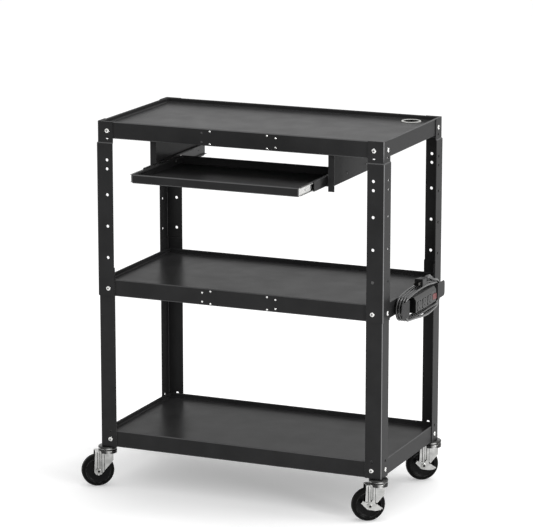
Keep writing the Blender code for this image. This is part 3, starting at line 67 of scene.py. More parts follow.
ROCKER_EDGE = 0.0006
ROUNDED_SEGMENTS = 3
HEXAGON = 6

# Shelves
APRON_HALF_X = 0.398
APRON_HALF_Y = 0.208
SHEET = 0.0012
RIMS = {"top_shelf": 0.989, "middle_shelf": 0.5685, "bottom_shelf": 0.1558}
APRON_HEIGHT = 0.045
CHANNEL_X = 0.092
RIVET_RADIUS = 0.0028
RIVET_HEIGHT = 0.0012
RIVET_DOME = ((0, 1), (0.45, 0.92), (0.8, 0.6), (1, 0))  # shares of radius and height
RIVET_SIDES = 20
INNER_RIVETS = ((-0.012, 0.007), (-0.012, 0.040))
OUTER_RIVETS = ((0.0115, 0.012), (0.0115, 0.036))

# Legs and bolts
LEG_SHEET = 0.002
LEG_BEND = 0.0032
LEG_BEND_SEGMENTS = 5
LEG_BEND_ANGLE = math.radians(60)
LEG_OUT = SEAT_GAP + LEG_SHEET
UPPER_OUT = LEG_OUT + SEAT_GAP + LEG_SHEET
JOGGLE = UPPER_OUT - LEG_OUT
JOGGLE_BELOW_RIM = 0.055
JOGGLE_LENGTH = 0.0028
UPPER_WIDTH = 0.0465
LOWER_WIDTH = 0.0455
LEG_LAP = 0.032
HOLE_FROM_CORNER = 0.030
HOLE_RADIUS = 0.004
HOLE_SIDES = 28
HOLE_CUT_DEPTH = UPPER_WIDTH / 3
HOLES_BELOW_RIM = (0.0432, 0.1015, 0.125, 0.194, 0.278, 0.362)
LOWER_HOLE_BELOW_RIM = 0.0008
BOLT_BELOW_RIM = 0.0245
BOLT_INSET = HOLE_FROM_CORNER - UPPER_OUT
BOLT_HEAD_RADIUS = 0.0062
BOLT_HEAD_HEIGHT = 0.0033
BOLT_RIM = 0.25  # share of the head's height
BOLT_DOME = 0.98  # share of the head's radius
BOLT_DOME_STEP = 15  # degrees
BOLT_RADIUS = 0.003
BOLT_SIDES = 32
SHANK_SIDES = 16
CROSS_WIDTH = 0.0017
CROSS_LENGTH = 0.0062
CROSS_DEPTH = 0.0022
CROSS_STEEP = 0.3
NUT_RADIUS = 0.0056
NUT_HEIGHT = 0.005
CORNERS = {
    "front_right": (1, -1, 0.0),
    "back_right": (1, 1, math.pi / 2),
    "back_left": (-1, 1, math.pi),
    "front_left": (-1, -1, -math.pi / 2),
}

# Grommet
GROMMET_FLANGE_RADIUS = 0.0262
GROMMET_RADIUS = 0.0235
GROMMET_BORE = 0.021
GROMMET_FLANGE = 0.002
GROMMET_EDGE = GROMMET_FLANGE * 0.6
GROMMET_EDGE_STEPS = 4
GROMMET_SIDES = 64

# Casters, in a frame at the swivel axis with +X ahead of the wheel
CASTER_INSET = 0.010
CASTER_YAW = math.radians(34.5)
TRAIL = 0.027
WHEEL_RADIUS = 0.044
WHEEL_WIDTH = 0.025
WHEEL_SIDES = 72
TYRE_INNER = 0.0345
TYRE_SHOULDER = 0.0089
TYRE_SHOULDER_STEPS = 9
TYRE_LIP = 0.0006
TREAD_RIDGE = 0.0005
RIDGE_HALF = 0.0026
CORE_STEP = 0.002
CORE_BORE = 0.0046
CORE_HUB_RADIUS = 0.012
CORE_HUB_EDGE = 0.001
CORE_HUB_FOOT = 0.002
CORE_DISH = 0.0012
CORE_DISH_EDGE = 0.004
CORE_RING_RADIUS = 0.0315
CORE_RING_HALF = 0.001
CORE_RING_INNER_FOOT = 0.0025
CORE_RING_OUTER_FOOT = 0.0016
CORE_RING_PROUD = 0.0008
FORK_SIDE_GAP = 0.0015
FORK_SHEET = 0.0025
PLEAT_DEPTH = 0.0015
CROWN_RADIUS = 0.0255
CROWN_DOME = 0.003
CROWN_DOME_STEPS = 5
CROWN_HEIGHT = 0.009
CROWN_SKIN = 0.0001
RACE_HEIGHT = 0.0095
RACE_RADIUS = 0.0254
RACE_ROLL = ((0.0008, 0.0012), (0, 0.0035))  # inward and below the race's top edge
RACE_NECK = 0.023
SEAL_HEIGHT = 0.0022
SEAL_RADIUS = 0.0247
PIN_RADIUS = 0.006
PIN_HEAD_RADIUS = 0.009
PIN_HEAD = 0.003
PIN_HEAD_SIDE = 0.6  # share of the head's height
PIN_HEAD_TIP = 0.7  # share of the head's radius
STEM_RADIUS = 0.004
STEM_RISE = 0.013
AXLE_RADIUS = 0.004
AXLE_SIDES = 24
AXLE_HEAD_RADIUS = 0.008
AXLE_HEXAGON = 0.8  # share of the flange's radius
AXLE_HEAD = 0.004
AXLE_FLANGE = 0.0011
AXLE_NUT = 0.005
SOCKET_RADIUS = 0.0034
SOCKET_DEPTH = 0.002
SOCKET_SIDES = 20
PEDAL_SHEET = 0.002
BRAKED = ("front_right", "back_right")
LATHE_SIDES = 48

# Cord, wound on the bracket as in the solids
CORD_RADIUS = 0.0034
CORD_TURNS = 4
CORD_PITCH = 0.0075
CORD_FIRST_OUT = 0.0067
CORD_EXIT_OUT = 0.0070
CORD_END_Y = 0.095
CORD_END_RADIUS = 0.0295
CORD_RUN_RISE = 0.0065
CORD_LEAD_Y = 0.107
CORD_LEAD_TOP = 0.039
CORD_DIP = 0.008
CORD_TAIL_SHIFT = 0.0065
CORD_ARC_POINTS = 9
CORD_RUN_POINTS = 3
CORD_STEPS = 4
CORD_RESOLUTION = 6
WINDER_Z = 0.543
CORD_CENTRE_DROP = 0.0044
CORD_EXIT_DROP = 0.0145
CORD_CENTRE_Z = WINDER_Z - CORD_CENTRE_DROP
CORD_EXIT_Z = WINDER_Z - CORD_EXIT_DROP
CORD_X = APRON_HALF_X + CORD_FIRST_OUT
CORD_EXIT_X = APRON_HALF_X + CORD_EXIT_OUT
RELIEF_BASE = 0.0048
RELIEF_TIP = 0.0042
RELIEF_FLANGE = 0.003
RIBS = 5
RIB_CUT = 0.0006
RIB_SHAPE = ((0.0, 0), (0.55, 0), (0.65, 1), (0.9, 1))  # shares of a rib's pitch and of its cut
SLEEVE_SIDES = 28
HOUSING_END_Y = 0.075
HOUSING_END_FACING = 0.7
PLUG_WIDTH = 0.024
PLUG_THICK = 0.020
PLUG_LENGTH = 0.038
PLUG_FRONT_Y = -0.008
PLUG_TAPER = (0.72, 1, 0.78)
PLUG_EDGE = 0.003
PLUG_EDGE_SEGMENTS = 4
PLUG_NECK_RADIUS = 0.0062
PLUG_NECK_TIP = 0.0046
PLUG_NECK_LENGTH = 0.020
PLUG_GRIPS = 4
PLUG_GRIP_PITCH = 0.0042
PLUG_GRIP_DEPTH = 0.0007
PLUG_GRIP_SIDES = 12
BLADE_LENGTH = 0.017
BLADE_HEIGHT = 0.0065
BLADE_THICK = 0.0015
BLADE_SPACING = 0.0127
PLUG_X = CORD_X + CORD_PITCH * (CORD_TURNS - 1) - CORD_TAIL_SHIFT
PLUG_Z = CORD_CENTRE_Z + CORD_END_RADIUS + CORD_RUN_RISE + CORD_RADIUS + SEAT_GAP + PLUG_THICK / 2

# Camera, from the middle of the shelves on the floor
CAMERA_SPOT = Vector((2.9515, -6.8337, 2.2584))
CAMERA_AZIMUTH = math.radians(23.439)
CAMERA_ELEVATION = math.radians(12.565)
CAMERA_LENS = 194.83
CAMERA_SENSOR = 36.0

# Wear, dust, painted highlights and painted reflections: noise is scale, detail, low and high, and the other
# pairs are the low and high end of a ramp
GRAIN_DETAIL = 2.0
DRIFT_DETAIL = 4.0
DRIFT_REACH = (0.3, 0.7)
EDGE_NOISE = (90.0, 3.0, 0.35, 0.6)
DUST_NOISE = (14.0, 6.0, 0.3, 0.75)
DUST_COLOUR = (0.20, 0.195, 0.185)
DUST_FACES = (0.5, 1.0)
EDGE_SAMPLES = 6
EDGE_TURN = (0.995, 0.9)
FOLD_START = 0.04
FOLD_FULL = 0.16
FOLD_LEVEL = 0.32
FOLD_OUTER = (0.5, 0.52)
FOLD_RISE = (0.1, 0.4)
FLANK_NEAR = (0.06, 0.35)
FLANK_FAR = (0.8, 0.97)
SWITCH_GLOW_COLOUR = (0.9, 0.12, 0.14, 1)
SWITCH_GLOW = 0.012

# Floor, sky and lamps: name, place, target, width, height and watts
WHITE = (1, 1, 1, 1)
FLOOR_SIZE = 60
FLOOR_COLOUR = (0.90, 0.90, 0.90, 1)
FLOOR_ROUGHNESS = 0.9
FLOOR_SPECULAR = 0.1
FLOOR_LIFT = 0.30
SKY_FILL = 0.78
LAMPS = (
    ("Key", (3.4, 1.6, 4.2), (0, 0, 0.5), 2.0, 2.0, 65),
    ("Top", (0.3, -0.2, 4.4), (0, 0, 0.5), 1.0, 1.0, 35),
    ("Edge strip", (4.0, -1.75, 1.0), (0, 0, 0.6), 0.35, 2.0, 45),
)

shelf_low, shelf_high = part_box("top_shelf")
CENTRE = Vector(((shelf_low.x + shelf_high.x) / 2, (shelf_low.y + shelf_high.y) / 2, 0))
TO_CENTRE = Matrix.Translation(CENTRE)
SHELF_BOTTOM = RIMS["bottom_shelf"] - APRON_HEIGHT


# Picking and editing
def choose(obj):
    """Selects one object alone and makes it active."""
    bpy.ops.object.select_all(action="DESELECT")
    obj.select_set(True)
    bpy.context.view_layer.objects.active = obj


def edit(obj):
    """Opens one object in edit mode with everything selected."""
    choose(obj)
    bpy.ops.object.mode_set(mode="EDIT")
    bpy.ops.mesh.select_mode(type="VERT")
    bpy.ops.mesh.select_all(action="SELECT")


def leave():
    """Goes back to object mode."""
    bpy.ops.object.mode_set(mode="OBJECT")


def middle_of(item):
    """The middle of an edge or a face."""
    return sum((vert.co for vert in item.verts), Vector()) / len(item.verts)


def pick(obj, kind, test):
    """In edit mode, selects the EDGE or FACE items whose middle passes a test."""
    bpy.ops.mesh.select_mode(type=kind)
    bpy.ops.mesh.select_all(action="DESELECT")
    bm = bmesh.from_edit_mesh(obj.data)
    for item in bm.edges if kind == "EDGE" else bm.faces:
        if test(middle_of(item)):
            item.select_set(True)
    bm.select_flush_mode()
    bmesh.update_edit_mesh(obj.data)


def apply_modifiers(obj):
    """Applies an object's modifiers in their order."""
    choose(obj)
    for modifier in list(obj.modifiers):
        bpy.ops.object.modifier_apply(modifier=modifier.name)


def shade(obj, angle=SMOOTH_ANGLE):
    """Smooth shading that keeps flats flat and sharp edges sharp."""
    choose(obj)
    bpy.ops.object.shade_smooth_by_angle(angle=angle)
    weighted = obj.modifiers.new("Flats", "WEIGHTED_NORMAL")
    weighted.keep_sharp = True
    apply_modifiers(obj)


def ease(obj, width=FINE_EDGE, segments=2, angle=EDGE_ANGLE):
    """Rounds the edges a little, as cut sheet and mouldings have them."""
    bevel = obj.modifiers.new("Edges", "BEVEL")
    bevel.width = width
    bevel.segments = segments
    bevel.limit_method = "ANGLE"
    bevel.angle_limit = angle
    apply_modifiers(obj)


def cut(obj, tools, operation="DIFFERENCE"):
    """Cuts one closed shape with others, which are then deleted."""
    for tool in tools:
        boolean = obj.modifiers.new("Cut", "BOOLEAN")
        boolean.object = tool
        boolean.operation = operation
        boolean.solver = "EXACT"
    apply_modifiers(obj)
    for tool in tools:
        bpy.data.objects.remove(tool)


def fresh(name, data):
    """A new object at the origin that holds a mesh or a curve."""
    obj = bpy.data.objects.new(name, data)
    bpy.context.scene.collection.objects.link(obj)
    return obj


def as_added(name):
    """Names what an operator has just added and bakes its place into its mesh."""
    obj = bpy.context.active_object
    obj.name = obj.data.name = name
    obj.data.transform(obj.matrix_world)
    obj.matrix_world = Matrix.Identity(4)
    return obj


def block(name, low, high):
    """A box between two corners."""
    low, high = Vector(low), Vector(high)
    bpy.ops.mesh.primitive_cube_add(size=1)
    obj = as_added(name)
    obj.data.transform(Matrix.Translation((low + high) / 2) @ Matrix.Diagonal((*(high - low), 1)))
    return obj


def rod(name, radius, start, end, sides):
    """A cylinder between two points."""
    start, end = Vector(start), Vector(end)
    bpy.ops.mesh.primitive_cylinder_add(vertices=sides, radius=radius, depth=(end - start).length)
    obj = as_added(name)
    turn = (end - start).to_track_quat("Z", "Y").to_matrix().to_4x4()
    obj.data.transform(Matrix.Translation((start + end) / 2) @ turn)
    return obj


def turned(name, profile, sides=LATHE_SIDES):
    """A turned piece: (radius, height) points spun about Z."""
    data = bpy.data.meshes.new(name)
    closed = profile[0] == profile[-1]
    points = profile[:-1] if closed else profile
    count = len(points)
    links = [(index, index + 1) for index in range(count - 1)] + ([(count - 1, 0)] if closed else [])
    data.from_pydata([(radius, 0, height) for radius, height in points], links, [])
    obj = fresh(name, data)
    edit(obj)
    bpy.ops.mesh.spin(steps=sides, angle=2 * math.pi, center=(0, 0, 0), axis=(0, 0, 1))
    bpy.ops.mesh.select_all(action="SELECT")
    bpy.ops.mesh.remove_doubles(threshold=MERGE)
    bpy.ops.mesh.normals_make_consistent(inside=False)
    leave()
    return obj


def arc(centre, radius, first, last, steps):
    """Points of an arc in a profile, by angles in degrees."""
    points = []
    for index in range(steps + 1):
        angle = math.radians(first + (last - first) * index / steps)
        points.append((centre[0] + radius * math.cos(angle), centre[1] + radius * math.sin(angle)))
    return points


def joined(name, pieces):
    """One object out of several."""
    bpy.ops.object.select_all(action="DESELECT")
    for obj in pieces:
        obj.select_set(True)
    bpy.context.view_layer.objects.active = pieces[0]
    bpy.ops.object.join()
    pieces[0].name = pieces[0].data.name = name
    return pieces[0]


def copies(name, pattern, places):
    """One object out of a pattern's copies at several places."""
    made = []
    for index, place in enumerate(places):
        obj = fresh(f"{name}_{index}", pattern.data.copy())
        obj.data.transform(place)
        made.append(obj)
    return joined(name, made)


def along(spot, direction):
    """A place whose +Z looks along a direction."""
    turn = Vector(direction).to_track_quat("Z", "Y").to_matrix().to_4x4()
    return Matrix.Translation(spot) @ turn


def settle(obj, body, slot, look, *nodes):
    """Gives a piece its body and its material, and hides the nodes that it stands for; slot is not used."""
    if not obj.data.materials:
        obj.data.materials.append(look)
    else:
        obj.data.materials[0] = look
    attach(obj, body)
    if nodes:
        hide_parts(*nodes)
    return obj


def second_finish(obj, look, test):
    """Gives a second material to the faces that pass a test."""
    obj.data.materials.append(look)
    spot = len(obj.data.materials) - 1
    for face in obj.data.polygons:
        if test(face):
            face.material_index = spot


def dressed(source, name, body, slot, look, width=FINE_EDGE, segments=2, angle=EDGE_ANGLE):
    """A merged copy of a CAD node with eased edges, settled in the node's place."""
    obj = fresh(name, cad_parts[source].data.copy())
    obj.data.materials.clear()
    edit(obj)
    bpy.ops.mesh.customdata_custom_splitnormals_clear()
    bpy.ops.mesh.remove_doubles(threshold=MERGE)
    bpy.ops.mesh.dissolve_limited(angle_limit=FLAT_ANGLE)
    leave()
    ease(obj, width, segments, angle)
    shade(obj)
    return settle(obj, body, slot, look, source)


# Shader groups
def new_group(name, inputs, outputs):
    """A shader node group with named sockets: (name, type, value) and (name, type)."""
    group = bpy.data.node_groups.new(name, "ShaderNodeTree")
    for label, kind, value in inputs:
        socket = group.interface.new_socket(label, in_out="INPUT", socket_type=f"NodeSocket{kind}")
        socket.default_value = value
    for label, kind in outputs:
        group.interface.new_socket(label, in_out="OUTPUT", socket_type=f"NodeSocket{kind}")
    return group, group.nodes.new("NodeGroupInput"), group.nodes.new("NodeGroupOutput")


def node(tree, kind, links=(), **settings):
    """A shader node with its settings, its numbered or named inputs linked or set."""
    made = tree.nodes.new(f"ShaderNode{kind}")
    for key, value in settings.items():
        setattr(made, key, value)
    for key, value in dict(links).items():
        if isinstance(value, bpy.types.NodeSocket):
            tree.links.new(value, made.inputs[key])
        else:
            made.inputs[key].default_value = value
    return made


def math_node(tree, operation, first, second=0.0, clamp=False):
    return node(tree, "Math", {0: first, 1: second}, operation=operation, use_clamp=clamp).outputs[0]


def noise(tree, scale, detail):
    """Noise over the piece, in Object coordinates."""
    point = node(tree, "TexCoord").outputs["Object"]
    return node(tree, "TexNoise", {"Vector": point, "Scale": scale, "Detail": detail}).outputs["Fac"]


def ramp(tree, value, low, high, first=0.0, last=1.0):
    """A value carried from low to high over to first to last, held at both ends."""
    return node(tree, "MapRange", {"Value": value, "From Min": low, "From Max": high, "To Min": first,
                                   "To Max": last}).outputs[0]


def spots(tree, scale, detail, low, high):
    """A mask of uneven spots."""
    return ramp(tree, noise(tree, scale, detail), low, high)


def product(tree, first, *others):
    """The product of several values."""
    for other in others:
        first = math_node(tree, "MULTIPLY", first, other)
    return first


def facing(tree, normal):
    """The three parts of a normal."""
    return node(tree, "SeparateXYZ", {0: normal}).outputs


def grain_group():
    """Fine bumps of one size."""
    group, inputs, outputs = new_group("Fine grain", [("Size", "Float", 0.001)], [("Height", "Float")])
    scale = math_node(group, "DIVIDE", 1.0, inputs.outputs["Size"])
    group.links.new(noise(group, scale, GRAIN_DETAIL), outputs.inputs["Height"])
    return group


def patches_group():
    """A value that drifts between two limits over patches of one size."""
    group, inputs, outputs = new_group(
        "Drifting value", [("Low", "Float", 0.3), ("High", "Float", 0.4), ("Size", "Float", 0.05)],
        [("Value", "Float"), ("Share", "Float")])
    scale = math_node(group, "DIVIDE", 1.0, inputs.outputs["Size"])
    share = spots(group, scale, DRIFT_DETAIL, *DRIFT_REACH)
    value = ramp(group, share, 0.0, 1.0, inputs.outputs["Low"], inputs.outputs["High"])
    group.links.new(value, outputs.inputs["Value"])
    group.links.new(share, outputs.inputs["Share"])
    return group


def edge_wear_and_highlight_group():
    """A mask of the convex edges, broken up by noise: worn edges on some finishes, painted edge highlights on
    others.
    """
    group, inputs, outputs = new_group("Rubbed edges and painted highlights", [("Reach", "Float", 0.001), ("Amount", "Float", 0.5)],
                                       [("Mask", "Float")])
    normal = node(group, "NewGeometry").outputs["Normal"]
    rounded = node(group, "Bevel", {"Radius": inputs.outputs["Reach"]}, samples=EDGE_SAMPLES).outputs[0]
    dot = node(group, "VectorMath", {0: normal, 1: rounded}, operation="DOT_PRODUCT").outputs["Value"]
    mask = product(group, ramp(group, dot, *EDGE_TURN), spots(group, *EDGE_NOISE), inputs.outputs["Amount"])
    group.links.new(mask, outputs.inputs["Mask"])
    return group


def dust_group():
    """A mask of what has settled on faces that look up."""
    group, inputs, outputs = new_group("Settled dust", [("Amount", "Float", 0.1)], [("Mask", "Float")])
    up = ramp(group, facing(group, node(group, "NewGeometry").outputs["Normal"])["Z"], *DUST_FACES)
    mask = product(group, up, spots(group, *DUST_NOISE), inputs.outputs["Amount"])
    group.links.new(mask, outputs.inputs["Mask"])
    return group


def fold_highlight_group():
    """A mask for painted highlights on the outer folds: faces that look along none of the axes, weaker where
    they look up.
    """
    group, inputs, outputs = new_group(
        "Painted fold highlights", [("Start", "Float", FOLD_START), ("Full", "Float", FOLD_FULL),
                       ("Level folds", "Float", FOLD_LEVEL)], [("Mask", "Float")])
    geometry = node(group, "NewGeometry")
    normal = facing(group, geometry.outputs["Normal"])
    x, y, z = (math_node(group, "ABSOLUTE", normal[axis]) for axis in ("X", "Y", "Z"))
    most = math_node(group, "MAXIMUM", math_node(group, "MAXIMUM", x, y), z)
    slant = ramp(group, math_node(group, "SUBTRACT", 1.0, most), inputs.outputs["Start"],
                 inputs.outputs["Full"])
    outer = ramp(group, geometry.outputs["Pointiness"], *FOLD_OUTER)
    level = ramp(group, z, *FOLD_RISE, 1.0, inputs.outputs["Level folds"])
    group.links.new(product(group, slant, outer, level), outputs.inputs["Mask"])
    return group


def flank_reflection_group():
    """A mask for painted dark reflections on the slanted flanks of a pressing that stands at an angle to the
    frame.
    """
    group, inputs, outputs = new_group("Painted flank reflections", [("Turn", "Float", 0.0)], [("Mask", "Float")])
    back = math_node(group, "MULTIPLY", inputs.outputs["Turn"], -1.0)
    normal = node(group, "TexCoord").outputs["Normal"]
    turned_back = node(group, "VectorRotate", {"Vector": normal, "Angle": back}, rotation_type="Z_AXIS")
    x = math_node(group, "ABSOLUTE", facing(group, turned_back.outputs[0])["X"])
    mask = product(group, ramp(group, x, *FLANK_NEAR), ramp(group, x, *FLANK_FAR, 1.0, 0.0))
    group.links.new(mask, outputs.inputs["Mask"])
    return group


GRAIN, PATCHES, EDGE_WEAR_AND_HIGHLIGHTS, DUST = grain_group(), patches_group(), edge_wear_and_highlight_group(), dust_group()
FOLD_HIGHLIGHTS, FLANK_REFLECTIONS = fold_highlight_group(), flank_reflection_group()


def placed(tree, group, **values):
    """A group placed in a material with its own values."""
    made = node(tree, "Group", node_tree=group)
    for key, value in values.items():
        made.inputs[key].default_value = value
    return made


def mixed(tree, share, first, second):
    """One colour over another by a share. The mix node's colours go by number, as its names repeat."""
    first, second = (colour if isinstance(colour, bpy.types.NodeSocket) else (*colour, 1)
                     for colour in (first, second))
    return node(tree, "Mix", {"Factor": share, 6: first, 7: second}, data_type="RGBA").outputs[2]


def finish(name, colour, other, rough, patch=0.06, grain=0.0008, bump=0.00002, metallic=0.0, specular=0.5,
           edge_wear_and_highlight=None, edge_reach=0.001, edge_amount=0.5, dust=0.0, folds=None, flanks=None):
    """A Principled finish: drifting shades and roughness, grain, painted fold highlights, painted dark flank
    reflections, edge wear and painted edge highlights, and dust.
    """
    made = bpy.data.materials.new(name)
    made.use_nodes = True
    tree = made.node_tree
    shader = tree.nodes["Principled BSDF"]
    shader.inputs["Metallic"].default_value = metallic
    shader.inputs["Specular IOR Level"].default_value = specular
    drift = placed(tree, PATCHES, Low=rough[0], High=rough[1], Size=patch)
    tint = mixed(tree, drift.outputs["Share"], colour, other)
    if folds:
        tint = mixed(tree, placed(tree, FOLD_HIGHLIGHTS).outputs["Mask"], tint, folds)
    if flanks:
        tint = mixed(tree, placed(tree, FLANK_REFLECTIONS, Turn=CASTER_YAW).outputs["Mask"], tint, flanks)
    # Edge tint: wear on some finishes, painted highlights on the casters, wheels and race.
    if edge_wear_and_highlight:
        tint = mixed(tree, placed(tree, EDGE_WEAR_AND_HIGHLIGHTS, Reach=edge_reach, Amount=edge_amount).outputs["Mask"], tint, edge_wear_and_highlight)
    if dust:
        tint = mixed(tree, placed(tree, DUST, Amount=dust).outputs["Mask"], tint, DUST_COLOUR)
    tree.links.new(tint, shader.inputs["Base Color"])
    tree.links.new(drift.outputs["Value"], shader.inputs["Roughness"])
    height = placed(tree, GRAIN, Size=grain).outputs["Height"]
    bumps = node(tree, "Bump", {"Height": height, "Distance": bump, "Strength": 1.0})
    tree.links.new(bumps.outputs["Normal"], shader.inputs["Normal"])
    return made


# Finishes
# Satin black with painted highlights on its rounded folds and rims, and worn edges.
POWDER_COAT = finish(
    "Satin black powder coat", (0.0240, 0.0240, 0.0244), (0.0300, 0.0300, 0.0304), (0.28, 0.35), grain=0.0009,
    specular=0.04, edge_wear_and_highlight=(0.040, 0.040, 0.042), edge_amount=0.6, dust=0.02, folds=(0.24, 0.24, 0.243))
BOLT_ZINC = finish(
    "Bright zinc bolt", (0.80, 0.80, 0.79), (0.70, 0.70, 0.68), (0.18, 0.28), patch=0.01, grain=0.0004,
    bump=0.00001, metallic=1.0)
# Painted dark reflections on the slanted flanks and painted highlights on the edges of the pressings.
CASTER_ZINC = finish(
    "Bright zinc pressing", (0.50, 0.50, 0.49), (0.34, 0.34, 0.333), (0.12, 0.18), patch=0.014, grain=0.0006,
    bump=0.00001, metallic=1.0, edge_wear_and_highlight=(0.95, 0.95, 0.94), edge_reach=0.0015, edge_amount=0.9,
    flanks=(0.035, 0.035, 0.034))
# Painted highlights on the edges of the axle bolts.
AXLE_ZINC = finish(
    "Dull zinc bolt", (0.42, 0.42, 0.41), (0.30, 0.30, 0.29), (0.16, 0.26), patch=0.006, grain=0.0004,
    bump=0.00001, metallic=1.0, edge_wear_and_highlight=(0.9, 0.9, 0.89), edge_reach=0.0008, edge_amount=0.8)
# Dark finish of the outer and middle slide members; the inner ones are bright zinc.
SLIDE_STEEL = finish(
    "Dark slide steel", (0.012, 0.012, 0.0125), (0.020, 0.020, 0.020), (0.28, 0.38), metallic=0.4,
    specular=0.25, edge_wear_and_highlight=(0.20, 0.20, 0.20))
# Painted highlights on the tyre's edges.
TYRE_RUBBER = finish(
    "Black tyre rubber", (0.0022, 0.0022, 0.0022), (0.0040, 0.0039, 0.0037), (0.36, 0.50), patch=0.02,
    grain=0.0007, bump=0.00004, specular=0.07, edge_wear_and_highlight=(0.07, 0.069, 0.067), edge_amount=0.8)
# Painted highlights on the core's edges and raised ring.
NYLON = finish(
    "Black moulded nylon", (0.0022, 0.0022, 0.0024), (0.0038, 0.0038, 0.0040), (0.22, 0.32), patch=0.02,
    grain=0.0005, bump=0.00001, specular=0.10, edge_wear_and_highlight=(0.12, 0.12, 0.12), edge_amount=0.9)
# The seal's own dark, also used as painted shade inside bolt recesses and sockets.
SEAL_AND_RECESS_SHADE = finish(
    "Dark race seal and painted recess shade", (0.003, 0.003, 0.0032), (0.006, 0.006, 0.0058), (0.34, 0.48), patch=0.01, specular=0.15)
# Painted shade for the race's upper half under the shelf, with painted glints on its edges.
RACE_SHADE = finish(
    "Race steel with painted shade and glints", (0.030, 0.030, 0.030), (0.050, 0.050, 0.049), (0.22, 0.32), patch=0.008,
    metallic=0.8, edge_wear_and_highlight=(0.55, 0.55, 0.54), edge_amount=0.6)
GROMMET_GREY = finish(
    "Light grey moulded ring", (0.56, 0.56, 0.54), (0.50, 0.50, 0.48), (0.30, 0.40), grain=0.0005,
    edge_wear_and_highlight=(0.66, 0.66, 0.64), edge_amount=0.4, dust=0.05)
HOUSING_GREY = finish(
    "Grey moulded housing", (0.046, 0.046, 0.046), (0.056, 0.056, 0.055), (0.36, 0.46), grain=0.0006,
    bump=0.00004, specular=0.15, edge_wear_and_highlight=(0.16, 0.16, 0.16), edge_reach=0.0008, dust=0.03)
OUTLET_GREY = finish(
    "Dark grey outlet face", (0.034, 0.034, 0.034), (0.044, 0.044, 0.043), (0.34, 0.44), grain=0.0004,
    specular=0.15, edge_wear_and_highlight=(0.12, 0.12, 0.12), edge_reach=0.0006, edge_amount=0.4)
# Black used as painted shade inside the grommet's bore and for the strip housing's front end.
BLACK_FILL = finish(
    "Black for painted bore shade and the strip's front end", (0.002, 0.002, 0.002), (0.004, 0.004, 0.004), (0.34, 0.46), grain=0.0005,
    specular=0.1, edge_wear_and_highlight=(0.03, 0.03, 0.03), edge_amount=0.4)
CORD_VINYL = finish(
    "Black vinyl jacket", (0.013, 0.013, 0.0134), (0.018, 0.018, 0.0184), (0.15, 0.21), patch=0.03,
    bump=0.00001, specular=1.0)
PLUG_VINYL = finish(
    "Black moulded vinyl", (0.005, 0.005, 0.0053), (0.008, 0.008, 0.0083), (0.34, 0.44), patch=0.02,
    grain=0.0006, specular=0.15)
BLADE_METAL = finish(
    "Nickel blade", (0.10, 0.096, 0.085), (0.07, 0.066, 0.06), (0.30, 0.40), patch=0.01, metallic=1.0)
SWITCH_RED = finish(
    "Red translucent rocker", (0.13, 0.026, 0.027), (0.16, 0.034, 0.035), (0.24, 0.34), patch=0.01,
    grain=0.0005, bump=0.00001, specular=0.3)
rocker_shader = SWITCH_RED.node_tree.nodes["Principled BSDF"]
rocker_shader.inputs["Emission Color"].default_value = SWITCH_GLOW_COLOUR
rocker_shader.inputs["Emission Strength"].default_value = SWITCH_GLOW


# Camera
camera = bpy.data.objects.new("Camera", bpy.data.cameras.new("Camera"))
bpy.context.scene.collection.objects.link(camera)
camera.location = CENTRE + CAMERA_SPOT
camera.rotation_euler = (math.pi / 2 - CAMERA_ELEVATION, 0, CAMERA_AZIMUTH)
camera.data.lens = CAMERA_LENS
camera.data.sensor_width = CAMERA_SENSOR
bpy.context.scene.camera = camera


# Cord, strain relief and plug
def smooth(value):
    """A smooth step between 0 and 1."""
    value = min(1.0, max(0.0, value))
    return value * value * (3 - 2 * value)


def run_height(y, end_height):
    """The bow of a run between the two end arcs, above the centre line."""
    return end_height + CORD_RUN_RISE * (1 - (y / CORD_END_Y) ** 2)


def arc_point(x, sy, radius, share):
    """A point on an end arc: share 0 at the top, 1 at the bottom."""
    angle = math.pi / 2 - math.pi * share
    return (x, sy * (CORD_END_Y + radius * math.cos(angle)), CORD_CENTRE_Z + radius * math.sin(angle))


